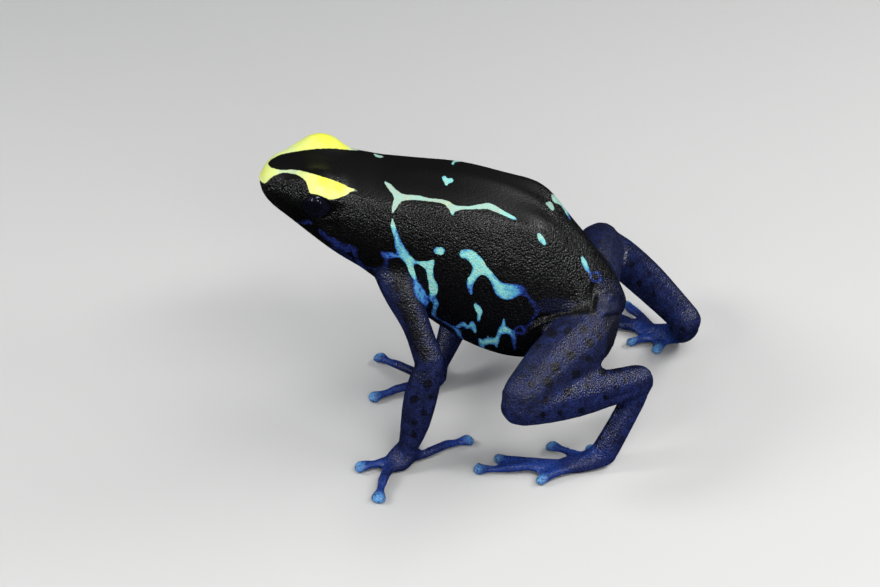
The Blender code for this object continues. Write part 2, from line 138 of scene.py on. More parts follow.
def set_points(mesh, points):
    mesh.vertices.foreach_set("co", points.astype(np.float32).ravel())
    mesh.update()


def distance_from(points, place):
    return np.linalg.norm(points - place, axis=1)


def soft_step(low, high, values):
    """0 up to the low value, 1 from the high one, and a soft rise between."""
    share = np.clip((values - low) / (high - low), 0.0, 1.0)
    return share * share * (3 - 2 * share)


flesh_names = sorted(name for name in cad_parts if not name.startswith("eye_"))
flesh_trees = {}
copies = []
for name in flesh_names:
    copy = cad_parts[name].copy()
    copy.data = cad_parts[name].data.copy()
    copy.parent = None
    for key in list(copy.keys()):
        del copy[key]
    bpy.context.scene.collection.objects.link(copy)
    copies.append(copy)
    flesh_trees[name] = BVHTree.FromPolygons(
        [vertex.co for vertex in copy.data.vertices],
        [tuple(polygon.vertices) for polygon in copy.data.polygons],
    )

bpy.ops.object.select_all(action="DESELECT")
for copy in copies:
    copy.select_set(True)
bpy.context.view_layer.objects.active = copies[0]
bpy.ops.object.join()
skin = bpy.context.object
skin.name = "frog_skin"
skin.data.name = "frog_skin"
skin.data.materials.clear()
bpy.ops.object.mode_set(mode="EDIT")
bpy.ops.mesh.select_all(action="SELECT")
bpy.ops.mesh.remove_doubles(threshold=WELD_DISTANCE)
bpy.ops.object.mode_set(mode="OBJECT")

swell = skin.modifiers.new("swell", "DISPLACE")
swell.strength = SWELL
swell.mid_level = 0.0
one_surface = skin.modifiers.new("one_surface", "REMESH")
one_surface.mode = "VOXEL"
one_surface.voxel_size = GRID
one_surface.use_smooth_shade = True
shrink = skin.modifiers.new("shrink", "DISPLACE")
shrink.strength = -SWELL
shrink.mid_level = 0.0
apply_modifiers(skin)


def part_distances(points):
    """Distance of every point from each part, from head and torso, and from the limbs.

    Where a part is farther than the seam width, the seam width stands for its distance.
    """
    found = {}
    for name in flesh_names:
        low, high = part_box(name)
        low = np.array(low) - SEAM_WIDTH
        high = np.array(high) + SEAM_WIDTH
        near = np.flatnonzero(np.all((points > low) & (points < high), axis=1))
        found[name] = np.full(len(points), SEAM_WIDTH)
        for index in near:
            hit = flesh_trees[name].find_nearest(Vector(points[index]), SEAM_WIDTH)
            if hit[3] is not None:
                found[name][index] = hit[3]
    body = np.minimum(found["head"], found["torso"])
    limbs = np.min([found[name] for name in flesh_names if name not in BODY_PARTS], axis=0)
    return found, body, limbs


def soften(item, name, weights, passes):
    """Smooths a surface by a weight for each vertex, in even levels of weight."""
    group = item.vertex_groups.new(name=name)
    levels = np.round(np.clip(weights, 0.0, 1.0) * WEIGHT_LEVELS).astype(int)
    for level in range(1, WEIGHT_LEVELS + 1):
        indices = np.flatnonzero(levels == level)
        if len(indices):
            group.add(indices.tolist(), level / WEIGHT_LEVELS, "REPLACE")
    smooth = item.modifiers.new(name, "SMOOTH")
    smooth.factor = 0.5
    smooth.iterations = passes
    smooth.vertex_group = group.name
    apply_modifiers(item)
    item.vertex_groups.clear()


skin_points = points_of(skin.data)
distances, body_distance, limb_distance = part_distances(skin_points)
seam = 1 - soft_step(SEAM_CORE, SEAM_WIDTH, np.maximum(distances["head"], distances["torso"]))
for side in SIDES:
    for chain in LIMB_CHAINS:
        previous = body_distance
        for piece in chain:
            reach = distances[f"{piece}_{side}"]
            joint = 1 - soft_step(SEAM_CORE, SEAM_WIDTH, np.maximum(previous, reach))
            seam = np.maximum(seam, joint)
            previous = reach
soften(skin, "seams", seam, SEAM_PASSES)
on_body = soft_step(-TRUNK_EDGE, TRUNK_EDGE, limb_distance - body_distance)
eye_distance = np.full(len(skin_points), 1.0)
for side in SIDES:
    low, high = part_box("eye_" + side)
    reach = distance_from(skin_points, np.array((low + high) / 2)) - (high.x - low.x) / 2
    eye_distance = np.minimum(eye_distance, reach)
soften(skin, "trunk", on_body * soft_step(*EYE_MARGIN, eye_distance), TRUNK_PASSES)
soften(skin, "all_over", np.ones(len(skin_points)), ALL_OVER_PASSES)


# The face. The upper lids are blended into the crown, both lids hug the eyeball, and a
# fold runs round them. The line of the mouth, the lips, the nostrils, the ear discs and
# the cheeks are drawn into the skin. The right side mirrors the left.
HEAD_MIDDLE = sum(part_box("head"), Vector()).y / 2
EYE_SHIFT = np.array((0.15, -0.05, 0.1)) * MM
EYE_GROWTH = 1.05
SOCKET_RADIUS = 2.3 * MM
LID_GAP = 0.03 * MM
LID_REACH = 2.9 * MM
LID_BLEND_REACH = (5.4 * MM, 4.4 * MM)
LID_BLEND_ANGLES = (math.radians(60), math.radians(88))
LID_BLEND_PASSES = 54
LID_FINE_REACH = 3.5 * MM
LID_FINE_ANGLE = math.radians(85)
OPENING_AXIS = np.array((-0.02, -0.99, -0.10))
OPENING_TOP = math.radians(8)
OPENING_BACK = math.radians(8)
OPENING_FRONT = math.radians(-2)
OPENING_REACH = (3.6 * MM, 2.8 * MM)
RIM_ANGLE = math.radians(45)
RIM_SPREAD = math.radians(28)
MOUTH_LINE = (
    (-25.62, -0.44, 30.5), (-25.45, -1.25, 30.45), (-24.9, -2.4, 30.08), (-24.18, -3.25, 29.56),
    (-22.94, -4.02, 28.66), (-21.71, -4.45, 27.79), (-20.5, -4.78, 26.87), (-19.31, -5.17, 26.03),
    (-18.15, -5.58, 25.24), (-16.97, -6.04, 24.69), (-15.76, -6.48, 24.44),
)
MOUTH_ENDS = (-15.8 * MM, -17.0 * MM)
MOUTH_DEPTH = 0.16 * MM
MOUTH_HALF_WIDTH = 0.13 * MM
MOUTH_FINE_REACHES = (0.65 * MM, 0.37 * MM)
LIP_HEIGHT = 0.07 * MM
LIP_OFFSET = 0.38 * MM
LIP_HALF_WIDTH = 0.24 * MM
UPPER_LIP_EXTRA = 0.4
NOSTRIL = (-24.27, -3.44, 31.03)
NOSTRIL_RADIUS = 0.20 * MM
NOSTRIL_DEPTH = 0.22 * MM
NOSTRIL_RIM = 0.05 * MM
NOSTRIL_RIM_RADIUS = 0.34 * MM
NOSTRIL_RIM_WIDTH = 0.14 * MM
NOSTRIL_FINE_REACHES = (0.70 * MM, 0.45 * MM)
EAR = (-17.78, -6.75, 27.97)
EAR_RADIUS = 0.95 * MM
EAR_HOLLOW = 0.75 * EAR_RADIUS
EAR_RIM = 0.05 * MM
EAR_RIM_WIDTH = 0.22 * MM
CHEEK = (-22.6, -3.6, 31.2)
CHEEK_HEIGHT = 0.14 * MM
CHEEK_RADIUS = 1.5 * MM
CURVE_STEPS = 4


def refine_faces(item, wanted):
    """Divides each wanted face in four, along the curve of the surface."""
    select_only(item)
    item.data.polygons.foreach_set("select", wanted)
    item.data.vertices.foreach_set("select", np.zeros(len(item.data.vertices), bool))
    item.data.edges.foreach_set("select", np.zeros(len(item.data.edges), bool))
    bpy.ops.object.mode_set(mode="EDIT")
    bpy.ops.mesh.select_mode(type="FACE")
    bpy.ops.mesh.subdivide(number_cuts=1, smoothness=0.9)
    bpy.ops.object.mode_set(mode="OBJECT")


def mirrored(values):
    """Places on the other side of the animal."""
    values = np.array(values, float)
    values[..., 1] = 2 * HEAD_MIDDLE - values[..., 1]
    return values


def both_sides(place_mm):
    place = np.array(place_mm) * MM
    return place, mirrored(place)


def line_distance(points, line):
    """Distance of every point from a line, and its nearest place on the line."""
    distance = np.full(len(points), 1.0)
    nearest = np.zeros((len(points), 3))
    for start, end in zip(line[:-1], line[1:]):
        step = end - start
        share = np.clip((points - start) @ step / (step @ step), 0.0, 1.0)
        place = start + share[:, None] * step
        reach = distance_from(points, place)
        better = reach < distance
        distance[better] = reach[better]
        nearest[better] = place[better]
    return distance, nearest


def smooth_line(nodes, closed=False):
    """Nodes along a smooth curve through the given ones."""
    nodes = np.array(nodes, float)
    count = len(nodes)
    made = []
    for span in range(count if closed else count - 1):
        if closed:
            a, b, c, d = (nodes[(span + step) % count] for step in (-1, 0, 1, 2))
        else:
            b, c = nodes[span], nodes[span + 1]
            a = nodes[max(span - 1, 0)]
            d = nodes[min(span + 2, count - 1)]
        for u in np.arange(CURVE_STEPS) / CURVE_STEPS:
            bend = (2 * a - 5 * b + 4 * c - d) * u**2
            twist = (3 * b - a - 3 * c + d) * u**3
            made.append(0.5 * (2 * b + (c - a) * u + bend + twist))
    if not closed:
        made.append(nodes[-1])
    return np.array(made)


def hill(distance, width):
    return np.exp(-((distance / width) ** 2))


eye_centres = {}
eye_radii = {}
opening_axes = {}
socket_centres = {}
for side, turn in zip(SIDES, (1.0, -1.0)):
    low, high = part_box("eye_" + side)
    flip = np.array((1.0, turn, 1.0))
    socket_centres[side] = np.array((low + high) / 2)
    eye_centres[side] = socket_centres[side] + EYE_SHIFT * flip
    eye_radii[side] = (high.x - low.x) / 2 * EYE_GROWTH
    opening_axes[side] = OPENING_AXIS * flip / np.linalg.norm(OPENING_AXIS)


def socket_view(points, side):
    """Distance of every point from an eye socket and its angle off the lids' opening."""
    away = points - socket_centres[side]
    reach = np.linalg.norm(away, axis=1)
    return reach, np.arccos(np.clip(away @ opening_axes[side] / reach, -1.0, 1.0))


skin_points = points_of(skin.data)
blend = np.zeros(len(skin_points))
for side in SIDES:
    reach, angle = socket_view(skin_points, side)
    around = soft_step(*LID_BLEND_REACH, reach) * soft_step(*LID_BLEND_ANGLES, angle)
    blend = np.maximum(blend, around)
soften(skin, "lid_blend", blend, LID_BLEND_PASSES)

mouth_left = np.array(MOUTH_LINE) * MM
mouth = smooth_line(np.vstack((mouth_left[::-1], mirrored(mouth_left[1:]))))
for mouth_reach, nostril_reach in zip(MOUTH_FINE_REACHES, NOSTRIL_FINE_REACHES):
    centres = read_rows(skin.data.polygons, "center")
    wanted = line_distance(centres, mouth)[0] < mouth_reach
    for nostril in both_sides(NOSTRIL):
        wanted |= distance_from(centres, nostril) < nostril_reach
    if mouth_reach == MOUTH_FINE_REACHES[0]:
        for side in SIDES:
            reach, angle = socket_view(centres, side)
            wanted |= (reach < LID_FINE_REACH) & (angle < LID_FINE_ANGLE)
    refine_faces(skin, wanted)

skin_points = points_of(skin.data)
for side in SIDES:
    axis = opening_axes[side]
    away = skin_points - eye_centres[side]
    reach = np.linalg.norm(away, axis=1)
    near = np.flatnonzero(reach < OPENING_REACH[0])
    away, reach = away[near], reach[near]
    outward = away / reach[:, None]
    angle = np.arccos(np.clip(outward @ axis, -1.0, 1.0))
    around = outward - np.cos(angle)[:, None] * axis
    around /= np.maximum(np.linalg.norm(around, axis=1), 1e-6)[:, None]
    opening = OPENING_TOP * np.clip(around[:, 2], 0.0, 1.0) ** 2
    opening += OPENING_BACK * np.clip(around[:, 0], 0.0, 1.0) ** 2
    opening += OPENING_FRONT * np.clip(-around[:, 0], 0.0, 1.0) ** 2
    angle += opening * hill(angle - RIM_ANGLE, RIM_SPREAD) * soft_step(*OPENING_REACH, reach)
    outward = np.cos(angle)[:, None] * axis + np.sin(angle)[:, None] * around
    inner = SOCKET_RADIUS - outward @ (eye_centres[side] - socket_centres[side])
    lowest = eye_radii[side] + LID_GAP
    share = np.clip((reach - inner) / (LID_REACH - inner), 0.0, 1.0)
    hugging = lowest + share * (LID_REACH - lowest)
    reach = np.where(reach < LID_REACH, hugging, reach)
    skin_points[near] = eye_centres[side] + outward * reach[:, None]
set_points(skin.data, skin_points)

skin_normals = normals_of(skin.data)
distance, nearest = line_distance(skin_points, mouth)
above = np.sign(skin_points[:, 2] - nearest[:, 2])
push = LIP_HEIGHT * hill(distance - LIP_OFFSET, LIP_HALF_WIDTH) * (1 + UPPER_LIP_EXTRA * above)
push -= MOUTH_DEPTH * hill(distance, MOUTH_HALF_WIDTH)
push *= soft_step(*MOUTH_ENDS, skin_points[:, 0])
for nostril in both_sides(NOSTRIL):
    reach = distance_from(skin_points, nostril)
    push -= NOSTRIL_DEPTH * hill(reach, NOSTRIL_RADIUS)
    push += NOSTRIL_RIM * hill(reach - NOSTRIL_RIM_RADIUS, NOSTRIL_RIM_WIDTH)
for ear in both_sides(EAR):
    reach = distance_from(skin_points, ear)
    push += EAR_RIM * (hill(reach - EAR_RADIUS, EAR_RIM_WIDTH) - hill(reach, EAR_HOLLOW))
for cheek in both_sides(CHEEK):
    push += CHEEK_HEIGHT * hill(distance_from(skin_points, cheek), CHEEK_RADIUS)
set_points(skin.data, skin_points + skin_normals * push[:, None])

# The folds and bulges of the skin, as they show in the picture. Each is a line whose nodes
# have a place and a half width in pixels and a height in millimetres. Those of head and
# trunk are mirrored on the right side. A low ridge runs along the middle of the back, and
# the hip bones lift the skin in a hump on each side of it.
BODY_FOLDS = (
    (
        (303, 194, 1.5, 0), (301.5, 203, 1.6, -0.1), (303, 210, 1.7, -0.12), (309, 218, 1.8, -0.1),
        (315, 224, 1.8, 0),
    ),
    (
        (305.5, 196, 1.4, 0), (304.5, 203, 1.4, 0.11), (306, 210, 1.4, 0.13), (311, 216.5, 1.4, 0.11),
        (318, 222, 1.4, 0),
    ),
    ((331, 200, 1.4, 0), (334, 208, 1.5, -0.09), (332.5, 214, 1.5, -0.09), (327, 219.5, 1.5, 0)),
    ((328, 224, 1.8, 0), (334, 220.5, 2, 0.13), (341, 217, 2, 0.13), (349, 214, 2, 0)),
    ((276, 187, 3, 0), (285, 183, 3.4, 0.14), (292, 180, 3.4, 0.14), (299, 181, 3, 0)),
    ((330, 203, 2.2, 0), (338, 202, 2.4, 0.12), (347, 204, 2.4, 0.12), (356, 206, 2.4, 0)),
)
LIMB_FOLDS = {
    "hip": (
        (
            (525, 342, 2, 0), (530, 331, 2, 0.2), (540, 323.5, 2.1, 0.26), (550, 320, 2.1, 0.26),
            (562, 317.2, 2.1, 0.26), (576, 315.5, 2.1, 0.24), (592, 315, 2, 0),
        ),
        (
            (523, 335, 2.2, 0), (529, 326.5, 2.2, -0.22), (539, 319.3, 2.4, -0.3),
            (550, 315.6, 2.4, -0.3), (563, 312.6, 2.4, -0.28), (577, 311, 2.4, -0.25), (592, 310, 2.2, 0),
        ),
        ((582, 283, 4.5, 0), (582, 290, 5, 0.22), (582, 300, 5, 0.25), (581, 308, 4.5, 0)),
        (
            (597, 280, 2.6, 0), (595, 288, 2.8, -0.28), (594, 298, 2.8, -0.34), (593.5, 306, 2.8, -0.3),
            (593, 313, 2.4, 0),
        ),
        ((611, 288, 7, 0), (611, 296, 9, 0.4), (611, 302, 8.5, 0)),
        ((600, 316, 2.4, 0), (608, 316.5, 2.6, -0.3), (618, 315, 2.6, -0.3), (625, 312, 2.4, 0)),
    ),
    "tarsus_left": (
        ((600, 396, 2, 0), (610, 399, 2.2, -0.3), (624, 396, 2.4, -0.3), (638, 389, 2.2, 0)),
    ),
    "shank_left": (
        ((600, 396, 2, 0), (610, 399, 2.2, -0.25), (624, 396, 2.4, -0.25), (638, 389, 2.2, 0)),
    ),
    "upper_arm_left": (
        ((408, 366, 2.5, 0), (414, 365, 3, -0.28), (420, 364, 2.5, 0)),
    ),
    "forearm_left": (
        ((436, 363, 4, 0), (440, 370, 4.5, 0.22), (438, 378, 4, 0)),
    ),
}
FINE_FOLDS = ("hip", "tarsus_left")
FINE_FOLD_REACH = 6.0
FINE_FOLD_SIDE = HEAD_MIDDLE - 4 * MM
FOLD_SIGHT = (-0.05, 0.25)
FOLD_EDGE = (0.9 * MM, 0.2 * MM)
BODY_EDGE = 0.4 * MM
BACK_RIDGE_HEIGHT = 0.22 * MM
BACK_RIDGE_HALF_WIDTH = 1.3 * MM
BACK_RIDGE_START = (-12.0 * MM, -7.0 * MM)
BACK_RIDGE_END = (16.0 * MM, 12.0 * MM)
FACING_UP = (0.5, 0.8)
HIP_HUMP = (5.9, -5.0, 26.2)
HIP_HUMP_LINE = np.array((0.83, 0.0, -0.56))
HIP_HUMP_LENGTH = 3.6 * MM
HIP_HUMP_WIDTH = 2.5 * MM
HIP_HUMP_HEIGHT = 0.85 * MM


def side_view(points, normals, flip=False):
    """Places in the picture and facing of the skin's left side, or of its right side flipped."""
    if flip:
        points = mirrored(points)
        normals = normals * np.array((1.0, -1.0, 1.0))
    return picture_place(points), facing(points, normals)


def nearest_on_line(places, line):
    """For each place, the distances to every stretch of a line and how far along it is."""
    starts = line[:-1, :2]
    steps = line[1:, :2] - starts
    away = places[:, None, :] - starts
    along = np.sum(away * steps, axis=2) / np.sum(steps * steps, axis=1)
    along = np.clip(along, 0.0, 1.0)
    distance = np.linalg.norm(away - along[:, :, None] * steps, axis=2)
    return distance, along


def line_values(places, nodes):
    """Distances to every stretch of a smooth line, and its half width and last value there."""
    line = smooth_line(nodes)
    distance, along = nearest_on_line(places, line)
    half_width = line[:-1, 2] + along * (line[1:, 2] - line[:-1, 2])
    value = line[:-1, 3] + along * (line[1:, 3] - line[:-1, 3])
    return distance, half_width, value


def fold_push(places, nodes):
    """How far a fold lifts or sinks each place."""
    distance, half_width, height = line_values(places, nodes)
    nearest = np.argmin(distance, axis=1)
    rows = np.arange(len(places))
    return height[rows, nearest] * hill(distance[rows, nearest], half_width[rows, nearest])


centres = read_rows(skin.data.polygons, "center")
places = picture_place(centres)
wanted = np.zeros(len(centres), bool)
for name in FINE_FOLDS:
    for fold in LIMB_FOLDS[name]:
        wanted |= nearest_on_line(places, smooth_line(fold))[0].min(axis=1) < FINE_FOLD_REACH
refine_faces(skin, wanted & (centres[:, 1] < FINE_FOLD_SIDE))

skin_points = points_of(skin.data)
skin_normals = normals_of(skin.data)
distances, body_distance, limb_distance = part_distances(skin_points)
distances["hip"] = np.minimum(distances["thigh_left"], distances["torso"])
body_share = soft_step(-BODY_EDGE, BODY_EDGE, limb_distance - body_distance)
fold_groups = [(BODY_FOLDS, body_share, False), (BODY_FOLDS, body_share, True)]
for name, folds in LIMB_FOLDS.items():
    fold_groups.append((folds, soft_step(*FOLD_EDGE, distances[name]), False))
push = np.zeros(len(skin_points))
for folds, share, flip in fold_groups:
    places, seen = side_view(skin_points, skin_normals, flip)
    shown = soft_step(*FOLD_SIGHT, seen) * share
    near = np.flatnonzero(shown > 0)
    for fold in folds:
        push[near] += fold_push(places[near], fold) * shown[near] * MM

ridge = BACK_RIDGE_HEIGHT * hill(skin_points[:, 1] - HEAD_MIDDLE, BACK_RIDGE_HALF_WIDTH)
ridge *= soft_step(*BACK_RIDGE_START, skin_points[:, 0]) * soft_step(*BACK_RIDGE_END, skin_points[:, 0])
push += ridge * soft_step(*FACING_UP, skin_normals[:, 2]) * body_share
for hump in both_sides(HIP_HUMP):
    away = skin_points - hump
    along = away @ HIP_HUMP_LINE
    across = np.linalg.norm(away - along[:, None] * HIP_HUMP_LINE, axis=1)
    push += HIP_HUMP_HEIGHT * hill(along, HIP_HUMP_LENGTH) * hill(across, HIP_HUMP_WIDTH) * body_share
set_points(skin.data, skin_points + skin_normals * push[:, None])

# The digits. Each ends in a round disc with a pair of small pads on top, and is thinner
# behind the disc. The tips lie on the floor; their places are in millimetres.
DIGIT_TIPS = {
    "hand_left": ((-8.67, -8.74), (-14.87, -14.24), (-12.27, -20.34), (-1.67, -8.74)),
    "hand_right": ((-8.27, -1.94), (-13.57, -0.54), (-12.97, 8.26), (-6.27, 9.16)),
    "foot_left": ((11.63, -10.34), (7.13, -9.84), (0.93, -12.34), (-1.37, -14.34), (5.63, -16.74)),
    "foot_right": ((20.63, 9.26), (17.53, 11.26), (13.93, 15.56), (11.53, 20.16), (17.63, 19.96)),
}
TIP_FINE_REACH = 1.35 * MM
TIP_FINE_LEVELS = (0.1 * MM, 1.3 * MM)
DIGIT_LENGTH = 3.4 * MM
DIGIT_ROOT = 2.2 * MM
DIGIT_LEVEL = 2.2 * MM
DIGIT_ROOM = 1.25 * MM
DISC_SETBACK = 0.55 * MM
DISC_SLICE = 0.4 * MM
DISC_LENGTH = 0.75 * MM
DISC_SPREAD = 0.24
WAIST_SETBACK = 2.0 * MM
WAIST_LENGTH = 0.8 * MM
WAIST_SHARE = 0.16
WAIST_LEVELS = (0.2 * MM, 0.6 * MM)
PAD_HEIGHT = 0.07 * MM
PAD_SETBACK = 0.5 * MM
PAD_LENGTH = 0.35 * MM
PAD_OFFSET = 0.3 * MM
PAD_HALF_WIDTH = 0.2 * MM
PAD_LEVELS = (0.5 * MM, 0.8 * MM)

centres = read_rows(skin.data.polygons, "center")
wanted = np.zeros(len(centres), bool)
for tips in DIGIT_TIPS.values():
    for tip in tips:
        wanted |= distance_from(centres[:, :2], np.array(tip) * MM) < TIP_FINE_REACH
wanted &= (centres[:, 2] > TIP_FINE_LEVELS[0]) & (centres[:, 2] < TIP_FINE_LEVELS[1])
refine_faces(skin, wanted)


def shape_digit(points, tip):
    """Widens the end of one digit into its disc, thins it behind and raises the two pads."""
    away = points[:, :2] - tip
    reach = np.linalg.norm(away, axis=1)
    near = np.flatnonzero((reach < DIGIT_LENGTH) & (points[:, 2] < DIGIT_LEVEL))
    root = away[near][reach[near] < DIGIT_ROOT].mean(axis=0)
    root /= np.linalg.norm(root)
    crossways = np.array((-root[1], root[0]))
    along = away[near] @ root
    across = away[near] @ crossways
    disc = across[np.abs(along - DISC_SETBACK) < DISC_SLICE]
    middle = (disc.min() + disc.max()) / 2
    own = np.abs(across - middle) < DIGIT_ROOM
    near, along, across = near[own], along[own], across[own] - middle
    widen = DISC_SPREAD * hill(along - DISC_SETBACK, DISC_LENGTH)
    narrow = WAIST_SHARE * hill(along - WAIST_SETBACK, WAIST_LENGTH)
    shifted = middle + across * (1 + widen - narrow)
    points[near, :2] = tip + along[:, None] * root + shifted[:, None] * crossways
    height = points[near, 2]
    pads = hill(np.abs(across) - PAD_OFFSET, PAD_HALF_WIDTH) * hill(along - PAD_SETBACK, PAD_LENGTH)
    lift = PAD_HEIGHT * pads * soft_step(*PAD_LEVELS, height)
    points[near, 2] = height * (1 - narrow * soft_step(*WAIST_LEVELS, height)) + lift


skin_points = points_of(skin.data)
for tips in DIGIT_TIPS.values():
    for tip in tips:
        shape_digit(skin_points, np.array(tip) * MM)
set_points(skin.data, skin_points)


# The markings. Yellow runs from the snout over each lid, and a pale net hangs from the
# back over the flanks and turns blue towards the belly and limbs. Every mark is drawn as
# it shows in the picture: the nodes of a line have a place and a half width in pixels
# and a tint, from 0 (yellow) over mint and cyan to 1 (deep blue).
PIXELS_PER_MM = 8.8
YELLOW_OUTLINE = (
    (360, 149.6), (350, 150), (335, 148.6), (320, 148.6), (306, 150), (295, 151.8), (285, 153.6),
    (277, 156), (271.5, 159.5), (268, 163.5), (270.5, 167), (275.5, 169), (283, 170), (292, 169.6),
    (302, 171), (312, 173.6), (322, 176.6), (332, 179.8), (341, 183.3), (350, 187.8), (358.5, 190.6),
    (351, 191.6), (346.5, 195), (340, 197.3), (332.5, 199.6), (326, 198.3), (319.5, 195.3), (314, 194),
    (310.3, 193), (308.5, 189), (307, 184), (305, 180.3), (301, 177), (296, 174.4), (290, 173.2),
    (284, 172.8), (278, 174.2), (272, 177.2), (268.5, 180.6), (265, 183.2), (261.8, 182), (257, 176),
    (254, 166), (262, 152), (280, 143), (300, 136), (318, 126), (338, 128), (352, 140),
)
YELLOW_TINTS = (
    (262, 172, 0.15), (266, 181, 0.2), (272, 171, 0.18), (283, 171.5, 0.3), (293, 171.5, 0.3),
    (302, 174, 0.2), (311, 183, 0.16), (325, 182, 0.04), (340, 185, 0), (320, 191, 0.19),
    (334, 196, 0.18), (350, 190, 0.18), (357, 190.5, 0.32), (325, 137, 0.04), (318, 146, 0.14),
    (345, 143, 0.06), (300, 147, 0.16), (290, 150, 0.22), (275, 155, 0.2), (355, 148, 0.3),
    (360, 150, 0.34),
)
YELLOW_LIMIT = (375, 212)
TINT_REACH = 2.0
